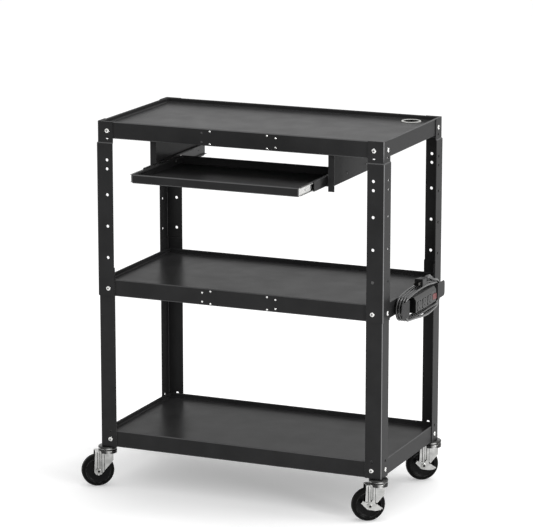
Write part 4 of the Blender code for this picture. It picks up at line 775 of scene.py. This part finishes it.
def cord_route():
    """The wound cord's centre line, from the strain relief to the plug's neck."""
    straight = 2 * CORD_RADIUS
    start = CORD_END_Y + SEAT_GAP
    points = [(CORD_EXIT_X, start, CORD_EXIT_Z), (CORD_EXIT_X, start + straight, CORD_EXIT_Z)]
    lead_top = WINDER_Z + CORD_LEAD_TOP
    lead_radius = (lead_top - CORD_EXIT_Z) / 2
    for index in range(1, CORD_ARC_POINTS + 1):
        share = index / CORD_ARC_POINTS
        angle = math.pi * share - math.pi / 2
        x = CORD_EXIT_X + (CORD_X - CORD_EXIT_X) * smooth(share)
        points.append((x, CORD_LEAD_Y + lead_radius * math.cos(angle),
                       CORD_EXIT_Z + lead_radius * (1 + math.sin(angle))))
    for turn in range(CORD_TURNS):
        x = CORD_X + CORD_PITCH * turn
        last = turn == CORD_TURNS - 1
        for index in range(1, CORD_RUN_POINTS + 1):
            share = index / (CORD_RUN_POINTS + 1)
            y = CORD_END_Y * (1 - 2 * share)
            z = CORD_CENTRE_Z + run_height(y, CORD_END_RADIUS)
            if turn == 0:
                above = lead_top - CORD_CENTRE_Z - CORD_END_RADIUS
                z += (above - CORD_RUN_RISE * (1 - (y / CORD_END_Y) ** 2)) * smooth(1 - 2 * share)
            points.append((x, y, z))
        for index in range(CORD_ARC_POINTS):
            points.append(arc_point(x, -1, CORD_END_RADIUS, index / (CORD_ARC_POINTS - 1)))
        for index in range(1, CORD_RUN_POINTS + 1):
            share = index / (CORD_RUN_POINTS + 1)
            y = CORD_END_Y * (2 * share - 1)
            dip = CORD_DIP * smooth(3 * share - 1) if last else 0
            across = 0 if last else CORD_PITCH * smooth(3 * share - 2)
            points.append((x + across, y, CORD_CENTRE_Z - run_height(y, CORD_END_RADIUS) - dip))
        across = 0 if last else CORD_PITCH
        radius = CORD_END_RADIUS + (CORD_DIP if last else 0)
        for index in range(CORD_ARC_POINTS):
            points.append(arc_point(x + across, 1, radius, 1 - index / (CORD_ARC_POINTS - 1)))
    plug_back = PLUG_FRONT_Y + PLUG_LENGTH + PLUG_NECK_LENGTH
    before = plug_back + SEAT_GAP + 2 * straight
    first = points[-1]
    points.append(((first[0] + PLUG_X) / 2, (first[1] + before) / 2, (first[2] + PLUG_Z) / 2))
    for y in (before, plug_back + SEAT_GAP + straight, plug_back + SEAT_GAP):
        points.append((PLUG_X, y, PLUG_Z))
    return points


def rounded_route(points, steps):
    """The same route with its corners rounded: a smooth curve through every point."""
    line = [Vector(point) for point in points]
    line = [line[0] * 2 - line[1]] + line + [line[-1] * 2 - line[-2]]
    made = [line[1]]
    for index in range(1, len(line) - 2):
        p0, p1, p2, p3 = line[index - 1:index + 3]
        for step in range(1, steps + 1):
            t = step / steps
            made.append(0.5 * (2 * p1 + (p2 - p0) * t + (2 * p0 - 5 * p1 + 4 * p2 - p3) * t * t
                               + (3 * p1 - p0 - 3 * p2 + p3) * t * t * t))
    return made


cord_line = [CENTRE + point for point in rounded_route(cord_route(), CORD_STEPS)]
cord_data = bpy.data.curves.new("wound_cord", "CURVE")
cord_data.dimensions = "3D"
cord_data.bevel_depth = CORD_RADIUS
cord_data.bevel_resolution = CORD_RESOLUTION
cord_data.use_fill_caps = True
spline = cord_data.splines.new("POLY")
spline.points.add(len(cord_line) - 1)
for control, place in zip(spline.points, cord_line):
    control.co = (*place, 1)
spline.use_smooth = True
cord = fresh("wound_cord", cord_data)
settle(cord, "cart", "cord_vinyl", CORD_VINYL, "power_cord")


def ribbed(root, tip, length):
    """The tapered side of a ribbed sleeve: (radius, height) points from its root up."""
    points = []
    for index in range(RIBS):
        for share, inward in RIB_SHAPE:
            at = (index + share) / RIBS
            points.append((root + (tip - root) * at - inward * RIB_CUT, length * at))
    points.append((tip, length))
    return points


relief_root = HOUSING_END_Y + SEAT_GAP
relief_length = CORD_END_Y - relief_root
sleeve = [(radius, RELIEF_FLANGE + height)
          for radius, height in ribbed(RELIEF_BASE, RELIEF_TIP, relief_length - RELIEF_FLANGE)]
relief = turned("cord_relief_sleeve", [(0, 0), (RELIEF_BASE, 0), *sleeve, (0, relief_length)], SLEEVE_SIDES)
relief.data.transform(TO_CENTRE @ along((CORD_EXIT_X, relief_root, CORD_EXIT_Z), (0, 1, 0)))
shade(relief)
settle(relief, "cart", "cord_vinyl", CORD_VINYL, "cord_strain_relief")


def plug_body():
    """A moulded plug with eased edges, finger grips and a ribbed neck, its neck toward +Y."""
    half, rise, back = PLUG_WIDTH / 2, PLUG_THICK / 2, PLUG_FRONT_Y + PLUG_LENGTH
    body = block("moulded_plug", (-half, PLUG_FRONT_Y, -rise), (half, back, rise))
    edit(body)
    pick(body, "FACE", lambda middle: middle.y > back - NEAR)
    bpy.ops.transform.resize(value=PLUG_TAPER)
    leave()
    grips = []
    for index in range(PLUG_GRIPS):
        y = back - PLUG_EDGE - PLUG_GRIP_PITCH * (index + 1)
        for x in (-half - PLUG_GRIP_DEPTH, half + PLUG_GRIP_DEPTH):
            grips.append(rod("grip", 2 * PLUG_GRIP_DEPTH, (x, y, -rise), (x, y, rise), PLUG_GRIP_SIDES))
    ease(body, PLUG_EDGE, PLUG_EDGE_SEGMENTS)
    cut(body, grips)
    neck_length = PLUG_NECK_LENGTH + PLUG_EDGE
    neck = turned("neck", [(0, 0), *ribbed(PLUG_NECK_RADIUS, PLUG_NECK_TIP, neck_length), (0, neck_length)],
                  SLEEVE_SIDES)
    neck.data.transform(along((0, back - PLUG_EDGE, 0), (0, 1, 0)))
    cut(body, [neck], "UNION")
    return body


def plug_blades():
    """The two flat blades of the plug."""
    blades = []
    for x in (-BLADE_SPACING / 2, BLADE_SPACING / 2):
        blade = block("blade", (x - BLADE_THICK / 2, PLUG_FRONT_Y - BLADE_LENGTH, -BLADE_HEIGHT / 2),
                      (x + BLADE_THICK / 2, PLUG_FRONT_Y + PLUG_EDGE, BLADE_HEIGHT / 2))
        ease(blade)
        blades.append(blade)
    return joined("plug_blades", blades)


at_plug = TO_CENTRE @ Matrix.Translation((PLUG_X, 0, PLUG_Z))
plug = plug_body()
plug.data.transform(at_plug)
shade(plug, TURNED_ANGLE)
settle(plug, "cart", "cord_vinyl", PLUG_VINYL, "cord_plug")
blades = plug_blades()
blades.data.transform(at_plug)
shade(blades)
settle(blades, "cart", "cord_vinyl", BLADE_METAL)

# Shelves and their stiffening channels
for shelf in RIMS:
    dressed(shelf, f"{shelf}_sheet", "cart", "powder_coat", POWDER_COAT)
for shelf in ("top_shelf", "middle_shelf"):
    for side in ("left", "right"):
        dressed(f"{shelf}_stiffener_{side}", f"{shelf}_channel_{side}", "cart", "powder_coat", POWDER_COAT)

# Rivets of the channels through the front and back aprons
rivet = turned("rivet", [(RIVET_RADIUS * across, RIVET_HEIGHT * up) for across, up in RIVET_DOME] + [(0, 0)],
               RIVET_SIDES)
bright_places, dark_places = [], []
for shelf in ("top_shelf", "middle_shelf"):
    for sy in (-1, 1):
        for sx in (-1, 1):
            for across, below in INNER_RIVETS + OUTER_RIVETS:
                spot = (sx * (CHANNEL_X + across), sy * APRON_HALF_Y, RIMS[shelf] - below)
                # The top shelf's outer rivets on the left take the sheet's black finish; the others are bright
                # zinc.
                painted = sx < 0 and shelf == "top_shelf" and (across, below) in OUTER_RIVETS
                (dark_places if painted else bright_places).append(TO_CENTRE @ along(spot, (0, sy, 0)))
for name, places, slot, look in (("bright_rivets", bright_places, "zinc", BOLT_ZINC),
                                 ("dark_rivets", dark_places, "powder_coat", POWDER_COAT)):
    rivets = copies(name, rivet, places)
    shade(rivets)
    settle(rivets, "cart", slot, look)
bpy.data.objects.remove(rivet)


# Legs
def step_in(obj, joggle_z):
    """In edit mode, moves both flanges inward above a height, over a short slope."""
    for z in (joggle_z - JOGGLE_LENGTH, joggle_z):
        bpy.ops.mesh.select_all(action="SELECT")
        bpy.ops.mesh.bisect(plane_co=(0, 0, z), plane_no=(0, 0, 1))
    bm = bmesh.from_edit_mesh(obj.data)
    for vert in bm.verts:
        if vert.co.z > joggle_z - NEAR:
            vert.co.x -= JOGGLE if vert.co.x > -NEAR else 0
            vert.co.y += JOGGLE if vert.co.y < NEAR else 0
    bmesh.update_edit_mesh(obj.data)


def corner_angle(name, width, low, high, joggle_z=None):
    """A folded angle at the front right corner, its outer faces on x = 0 and y = 0."""
    bpy.ops.mesh.primitive_plane_add(size=1)
    obj = as_added(name)
    obj.data.transform(Matrix.Translation((-width / 2, 0, (low + high) / 2))
                       @ Matrix.Rotation(math.pi / 2, 4, "X") @ Matrix.Diagonal((width, high - low, 1, 1)))
    edit(obj)
    pick(obj, "EDGE", lambda middle: middle.x > -NEAR)
    bpy.ops.mesh.extrude_region_move(TRANSFORM_OT_translate={"value": (0, width, 0)})
    if joggle_z:
        step_in(obj, joggle_z)
    leave()
    bend = obj.modifiers.new("Bend", "BEVEL")
    bend.width = LEG_BEND
    bend.segments = LEG_BEND_SEGMENTS
    bend.limit_method = "ANGLE"
    bend.angle_limit = LEG_BEND_ANGLE
    apply_modifiers(obj)
    sheet = obj.modifiers.new("Sheet", "SOLIDIFY")
    sheet.thickness = LEG_SHEET
    sheet.use_even_offset = True
    front = min(obj.data.polygons, key=lambda face: face.center.y)
    sheet.offset = -1 if front.normal.y < 0 else 1
    apply_modifiers(obj)
    edit(obj)
    bpy.ops.mesh.normals_make_consistent(inside=False)
    leave()
    return obj


def flange_holes(heights):
    """Cutters through both flanges at each height."""
    tools, deep, across = [], HOLE_CUT_DEPTH, HOLE_FROM_CORNER
    for z in heights:
        for start, end in (((-across, -OVERRUN, z), (-across, deep, z)),
                           ((-deep, across, z), (OVERRUN, across, z))):
            tools.append(rod("hole", HOLE_RADIUS, start, end, HOLE_SIDES))
    return tools


def four_legs(kind, pattern, out):
    """The pattern leg turned to its four corners."""
    ease(pattern, FINE_EDGE, 2, LEG_EDGE_ANGLE)
    shade(pattern, LEG_ANGLE)
    for corner, (sx, sy, turn) in CORNERS.items():
        leg = fresh(f"{kind}_angle_{corner}", pattern.data.copy())
        spot = Matrix.Translation((sx * (APRON_HALF_X + out), sy * (APRON_HALF_Y + out), 0))
        leg.data.transform(TO_CENTRE @ spot @ Matrix.Rotation(turn, 4, "Z"))
        settle(leg, "cart", "powder_coat", POWDER_COAT, f"{kind}_leg_{corner}")
    bpy.data.objects.remove(pattern)


top_rim, middle_rim, bottom_rim = RIMS.values()
upper = corner_angle("upper_angle", UPPER_WIDTH, middle_rim - APRON_HEIGHT, top_rim,
                     top_rim - JOGGLE_BELOW_RIM)
cut(upper, flange_holes([top_rim - drop for drop in HOLES_BELOW_RIM]))
four_legs("upper", upper, UPPER_OUT)
lower = corner_angle("lower_angle", LOWER_WIDTH, SHELF_BOTTOM, middle_rim + LEG_LAP)
lower_tools = flange_holes([bottom_rim - LOWER_HOLE_BELOW_RIM])
for tool in lower_tools:
    tool.data.transform(Matrix.Translation((JOGGLE, -JOGGLE, 0)))
cut(lower, lower_tools)
four_legs("lower", lower, LEG_OUT)


# Bolts with a crossed, domed head outside and a hexagon nut inside the apron
def bolt_pattern(grip):
    """A bolt along +Z: head above z = 0, nut below the sheets that it grips."""
    dome = [(BOLT_HEAD_RADIUS * math.sin(angle) * BOLT_DOME,
             BOLT_HEAD_HEIGHT * (BOLT_RIM + (1 - BOLT_RIM) * math.cos(angle)))
            for angle in map(math.radians, range(BOLT_DOME_STEP, 90, BOLT_DOME_STEP))]
    head = turned("bolt", [(0, BOLT_HEAD_HEIGHT), *dome, (BOLT_HEAD_RADIUS, BOLT_HEAD_HEIGHT * BOLT_RIM),
                           (BOLT_HEAD_RADIUS, 0), (0, 0)], BOLT_SIDES)
    half, reach = CROSS_WIDTH / 2, CROSS_LENGTH / 2
    low, high = BOLT_HEAD_HEIGHT - CROSS_DEPTH, BOLT_HEAD_HEIGHT + OVERRUN
    cut(head, [block("cross", (-reach, -half, low), (reach, half, high)),
               block("cross", (-half, -reach, low), (half, reach, high))])
    nut_end = -grip - NUT_HEIGHT
    nut = rod("nut", NUT_RADIUS, (0, 0, nut_end), (0, 0, -grip), HEXAGON)
    ease(nut, NUT_EDGE)
    shank = rod("shank", BOLT_RADIUS, (0, 0, nut_end - OVERRUN), (0, 0, nut_end + NEAR), SHANK_SIDES)
    ease(shank, FINE_EDGE, 1)
    bolt = joined("bolt", [head, nut, shank])
    bolt.data.materials.append(BOLT_ZINC)
    # Painted shade: the faces inside the cross recess take the dark seal finish.
    second_finish(bolt, SEAL_AND_RECESS_SHADE, lambda face: face.center.z > NEAR and face.center.xy.length < reach + NEAR
                  and (abs(face.normal.z) < CROSS_STEEP or face.center.z < low + MERGE))
    return bolt


BOLT_ROWS = (("top", top_rim, LEG_OUT), ("middle", middle_rim, UPPER_OUT), ("bottom", bottom_rim, LEG_OUT))
for row, rim, out in BOLT_ROWS:
    places = []
    for sx, sy, turn in CORNERS.values():
        x, y, z = sx * (APRON_HALF_X - BOLT_INSET), sy * (APRON_HALF_Y - BOLT_INSET), rim - BOLT_BELOW_RIM
        places.append(TO_CENTRE @ along((x, sy * (APRON_HALF_Y + out), z), (0, sy, 0)))
        places.append(TO_CENTRE @ along((sx * (APRON_HALF_X + out), y, z), (sx, 0, 0)))
    pattern = bolt_pattern(out + SHEET + SEAT_GAP)
    bolts = copies(f"{row}_bolts", pattern, places)
    bpy.data.objects.remove(pattern)
    shade(bolts, BOLT_ANGLE)
    settle(bolts, "cart", "zinc", BOLT_ZINC)

# Cable grommet
ring_low, ring_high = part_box("cable_grommet")
ring_middle = (ring_low + ring_high) / 2
ring_seat, lip = ring_high.z - GROMMET_FLANGE, ring_high.z - GROMMET_EDGE
ring = turned("grommet_ring", [(GROMMET_BORE, lip)]
              + arc((GROMMET_BORE + GROMMET_EDGE, lip), GROMMET_EDGE, 180, 90, GROMMET_EDGE_STEPS)[1:]
              + arc((GROMMET_FLANGE_RADIUS - GROMMET_EDGE, lip), GROMMET_EDGE, 90, 0, GROMMET_EDGE_STEPS)
              + [(GROMMET_FLANGE_RADIUS, ring_seat), (GROMMET_RADIUS, ring_seat),
                 (GROMMET_RADIUS, ring_low.z), (GROMMET_BORE, ring_low.z), (GROMMET_BORE, lip)], GROMMET_SIDES)
ring.data.transform(Matrix.Translation(((ring_low.x + ring_high.x) / 2, (ring_low.y + ring_high.y) / 2, 0)))
shade(ring, TURNED_ANGLE)
settle(ring, "cart", "light_plastic", GROMMET_GREY, "cable_grommet")
# The bore's inner wall is painted black as shade.
second_finish(ring, BLACK_FILL, lambda face: face.center.z < lip
              and (face.center - ring_middle).xy.length < GROMMET_BORE + NEAR)


# Casters
RACE_TOP = SHELF_BOTTOM - SEAT_GAP
CROWN_TOP = RACE_TOP - RACE_HEIGHT - RUNNING_GAP
FORK_INSIDE = WHEEL_WIDTH / 2 + FORK_SIDE_GAP
PLEAT_FACE = FORK_INSIDE + FORK_SHEET + PLEAT_DEPTH
SIDE_ON = Matrix.Rotation(math.pi / 2, 4, "X")


def swivel_head():
    """Stem, pressed race and kingpin, fixed to the shelf."""
    race_low = CROWN_TOP + RUNNING_GAP
    pin_low = CROWN_TOP - FORK_SHEET - 2 * RUNNING_GAP
    middle = (RACE_TOP + race_low + SEAL_HEIGHT) / 2
    return turned("head", [
        (0, RACE_TOP + STEM_RISE), (STEM_RADIUS, RACE_TOP + STEM_RISE), (STEM_RADIUS, RACE_TOP),
        (RACE_NECK, RACE_TOP), *((RACE_RADIUS - inward, RACE_TOP - below) for inward, below in RACE_ROLL),
        (RACE_RADIUS, middle), (RACE_RADIUS, race_low + SEAL_HEIGHT), (RACE_NECK, race_low + SEAL_HEIGHT),
        (RACE_NECK, race_low), (PIN_RADIUS, race_low), (PIN_RADIUS, pin_low), (PIN_HEAD_RADIUS, pin_low),
        (PIN_HEAD_RADIUS, pin_low - PIN_HEAD * PIN_HEAD_SIDE),
        (PIN_HEAD_RADIUS * PIN_HEAD_TIP, pin_low - PIN_HEAD), (0, pin_low - PIN_HEAD)])


def race_seal():
    """The dark ring between race and crown."""
    inner, low = RACE_NECK + NEAR, CROWN_TOP + RUNNING_GAP
    high = low + SEAL_HEIGHT - NEAR
    return turned("seal", [(inner, low), (SEAL_RADIUS, low), (SEAL_RADIUS, high), (inner, high),
                           (inner, low)])


def crown_cap():
    """The round skin of the fork's crown."""
    radius, top = CROWN_RADIUS + CROWN_SKIN, CROWN_TOP + CROWN_SKIN
    low, bore = CROWN_TOP - CROWN_HEIGHT - CROWN_SKIN, PIN_RADIUS + RUNNING_GAP
    inner, under = radius - FORK_SHEET / 2, top - FORK_SHEET / 2
    return turned("crown", [(bore, top)]
                  + arc((radius - CROWN_DOME, top - CROWN_DOME), CROWN_DOME, 90, 0, CROWN_DOME_STEPS)
                  + [(radius, low), (inner, low), (inner, under), (bore, under), (bore, top)])


def two_faced(name, upper):
    """A turned ring with the same profile on both of its faces."""
    profile = upper + [(radius, -height) for radius, height in reversed(upper)]
    return turned(name, profile + [profile[0]], WHEEL_SIDES)


def tyre_shape():
    """A tyre with round shoulders and a fine ridge round the middle of its tread."""
    half = WHEEL_WIDTH / 2
    shoulder = (WHEEL_RADIUS - TYRE_SHOULDER, half - TYRE_SHOULDER)
    return two_faced("tyre", [(TYRE_INNER, half - TYRE_LIP)]
                     + arc(shoulder, TYRE_SHOULDER, 90, 0, TYRE_SHOULDER_STEPS)
                     + [(WHEEL_RADIUS, RIDGE_HALF), (WHEEL_RADIUS - TREAD_RIDGE, RIDGE_HALF - TYRE_LIP)])


def core_shape():
    """A dished core with a raised ring and a hub on each face."""
    outer, half, hub = TYRE_INNER - SEAT_GAP, WHEEL_WIDTH / 2 - CORE_STEP, FORK_INSIDE - RUNNING_GAP
    ring, proud, dish = CORE_RING_RADIUS, half + CORE_RING_PROUD, half - CORE_DISH
    return two_faced("core", [
        (CORE_BORE, hub), (CORE_HUB_RADIUS - CORE_HUB_EDGE, hub), (CORE_HUB_RADIUS, hub - CORE_HUB_EDGE),
        (CORE_HUB_RADIUS + CORE_HUB_FOOT, dish), (ring - CORE_DISH_EDGE, dish),
        (ring - CORE_RING_INNER_FOOT, half), (ring - CORE_RING_HALF, proud), (ring + CORE_RING_HALF, proud),
        (ring + CORE_RING_OUTER_FOOT, half), (outer, half)])


def axle_shape(near):
    """A flanged hexagon head with a socket on the near side, a nut on the far side."""
    seat, top, far = near + AXLE_FLANGE, near + AXLE_HEAD, -PLEAT_FACE - SEAT_GAP
    flange = turned("axle", [(0, near), (AXLE_HEAD_RADIUS, near), (AXLE_HEAD_RADIUS, seat), (0, seat)])
    head = rod("head", AXLE_HEAD_RADIUS * AXLE_HEXAGON, (0, 0, near + NEAR), (0, 0, top), HEXAGON)
    ease(head, NUT_EDGE)
    cut(head, [rod("socket", SOCKET_RADIUS, (0, 0, top - SOCKET_DEPTH), (0, 0, top + OVERRUN), SOCKET_SIDES)])
    bolt = rod("bolt", AXLE_RADIUS, (0, 0, -PLEAT_FACE - AXLE_NUT - OVERRUN), (0, 0, near + NEAR), AXLE_SIDES)
    nut = rod("nut", AXLE_HEAD_RADIUS, (0, 0, far - AXLE_NUT), (0, 0, far), HEXAGON)
    ease(nut, NUT_EDGE)
    axle = joined("axle", [flange, head, bolt, nut])
    axle.data.materials.append(AXLE_ZINC)
    # Painted shade: the socket's faces take the dark seal finish.
    second_finish(axle, SEAL_AND_RECESS_SHADE, lambda face: seat < face.center.z < top - MERGE
                  and face.center.xy.length < SOCKET_RADIUS + NEAR)
    return axle


def caster_piece(name, shape, place, body, slot, look, *nodes, angle=TURNED_ANGLE):
    """A copy of a pattern in its caster's place."""
    piece = fresh(name, shape.data.copy())
    piece.data.transform(place)
    shade(piece, angle)
    return settle(piece, body, slot, look, *nodes)


head_pattern, seal_pattern, cap_pattern = swivel_head(), race_seal(), crown_cap()
tyre_pattern, core_pattern = tyre_shape(), core_shape()
axle_plain = axle_shape(PLEAT_FACE + SEAT_GAP)
axle_braked = axle_shape(PLEAT_FACE + 2 * SEAT_GAP + PEDAL_SHEET)
for corner, (sx, sy, turn) in CORNERS.items():
    name, swivel, wheel = f"caster_{corner}", f"swivel_{corner}", f"wheel_{corner}"
    spot = (sx * (APRON_HALF_X - CASTER_INSET), sy * (APRON_HALF_Y - CASTER_INSET), 0)
    at_head = TO_CENTRE @ Matrix.Translation(spot)
    at_swivel = at_head @ Matrix.Rotation(CASTER_YAW, 4, "Z")
    at_axle = at_swivel @ Matrix.Translation((-TRAIL, 0, WHEEL_RADIUS)) @ SIDE_ON
    race = caster_piece(f"{name}_race", head_pattern, at_head, "cart", "zinc", CASTER_ZINC,
                        f"{name}_swivel_head")
    # Painted shade: the race's upper half, under the shelf, takes the dark finish.
    second_finish(race, RACE_SHADE, lambda face: face.center.z > (RACE_TOP + CROWN_TOP) / 2)
    caster_piece(f"{name}_seal", seal_pattern, at_head, "cart", "nylon", SEAL_AND_RECESS_SHADE)
    caster_piece(f"{name}_crown", cap_pattern, at_swivel, swivel, "zinc", CASTER_ZINC, angle=SMOOTH_ANGLE)
    dressed(f"{name}_fork", f"{name}_pressing", swivel, "zinc", CASTER_ZINC, PRESSED_EDGE,
            angle=PRESSED_EDGE_ANGLE)
    caster_piece(f"{name}_tread", tyre_pattern, at_axle, wheel, "tyre_rubber", TYRE_RUBBER, f"{name}_tyre")
    caster_piece(f"{name}_hub", core_pattern, at_axle, wheel, "nylon", NYLON, f"{name}_core")
    axle = axle_braked if corner in BRAKED else axle_plain
    caster_piece(f"{name}_axle_bolt", axle, at_axle, swivel, "zinc", AXLE_ZINC, f"{name}_axle",
                 angle=BOLT_ANGLE)
    dressed(f"{name}_corner_plate", f"{name}_nut_plate", "cart", "zinc", CASTER_ZINC)
    if corner in BRAKED:
        dressed(f"brake_pedal_{corner}", f"brake_{corner}", f"pedal_{corner}", "zinc", CASTER_ZINC,
                PEDAL_EDGE)
for pattern in (head_pattern, seal_pattern, cap_pattern, tyre_pattern, core_pattern, axle_plain, axle_braked):
    bpy.data.objects.remove(pattern)

# Keyboard tray, hangers and slides
dressed("keyboard_tray", "keyboard_tray_sheet", "tray", "powder_coat", POWDER_COAT)
for side in ("right", "left"):
    dressed(f"tray_hanger_{side}", f"hanger_{side}", "cart", "powder_coat", POWDER_COAT)
    for member, look in (("outer", SLIDE_STEEL), ("middle", SLIDE_STEEL), ("inner", BOLT_ZINC)):
        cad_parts[f"slide_{member}_{side}"].data.materials.clear()
        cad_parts[f"slide_{member}_{side}"].data.materials.append(look)

# Cord bracket, power strip, outlets and switch
dressed("cord_winder_bracket", "cord_bracket", "cart", "powder_coat", POWDER_COAT, FINE_EDGE,
        ROUNDED_SEGMENTS)
housing = dressed("power_strip_housing", "strip_housing", "cart", "grey_plastic", HOUSING_GREY, HOUSING_EDGE,
                  ROUNDED_SEGMENTS)
# The faces at the housing's front end that look forward are made black.
second_finish(housing, BLACK_FILL, lambda face: face.normal.y < -HOUSING_END_FACING)
for number in (1, 2, 3):
    dressed(f"outlet_{number}", f"outlet_face_{number}", "cart", "dark_plastic", OUTLET_GREY, FINE_EDGE,
            ROUNDED_SEGMENTS)
dressed("rocker_switch", "rocker", "rocker", "red_plastic", SWITCH_RED, ROCKER_EDGE, ROUNDED_SEGMENTS)

# Floor, surroundings and lamps
bpy.ops.object.select_all(action="DESELECT")
bpy.ops.mesh.primitive_plane_add(size=FLOOR_SIZE)
floor = bpy.context.active_object
floor.name = "floor"
floor_look = bpy.data.materials.new("Pale floor")
floor_look.use_nodes = True
floor_tree = floor_look.node_tree
floor_shader = floor_tree.nodes["Principled BSDF"]
floor_shader.inputs["Base Color"].default_value = FLOOR_COLOUR
floor_shader.inputs["Roughness"].default_value = FLOOR_ROUGHNESS
floor_shader.inputs["Specular IOR Level"].default_value = FLOOR_SPECULAR
rays = node(floor_tree, "LightPath").outputs
seen = math_node(floor_tree, "MAXIMUM", rays["Is Camera Ray"], rays["Is Glossy Ray"])
floor_shader.inputs["Emission Color"].default_value = WHITE
lift = math_node(floor_tree, "MULTIPLY", seen, FLOOR_LIFT)
floor_tree.links.new(lift, floor_shader.inputs["Emission Strength"])
floor.data.materials.append(floor_look)

world = bpy.data.worlds.new("Studio")
bpy.context.scene.world = world
world.use_nodes = True
sky_tree = world.node_tree
sky = sky_tree.nodes["Background"]
sky.inputs["Color"].default_value = WHITE
rays = node(sky_tree, "LightPath").outputs
direct = math_node(sky_tree, "MAXIMUM", rays["Is Camera Ray"], rays["Is Transmission Ray"])
clear = math_node(sky_tree, "MAXIMUM", direct, rays["Is Glossy Ray"])
sky_tree.links.new(ramp(sky_tree, clear, 0.0, 1.0, SKY_FILL, 1.0), sky.inputs["Strength"])

for name, spot, target, width, height, watts in LAMPS:
    lamp_data = bpy.data.lights.new(name, "AREA")
    lamp_data.shape = "RECTANGLE"
    lamp_data.size, lamp_data.size_y = width, height
    lamp_data.energy = watts
    lamp = bpy.data.objects.new(name, lamp_data)
    bpy.context.scene.collection.objects.link(lamp)
    lamp.location = CENTRE + Vector(spot)
    lamp.rotation_euler = (Vector(target) - Vector(spot)).to_track_quat("-Z", "Y").to_euler()
bpy.context.scene.view_settings.view_transform = "Standard"
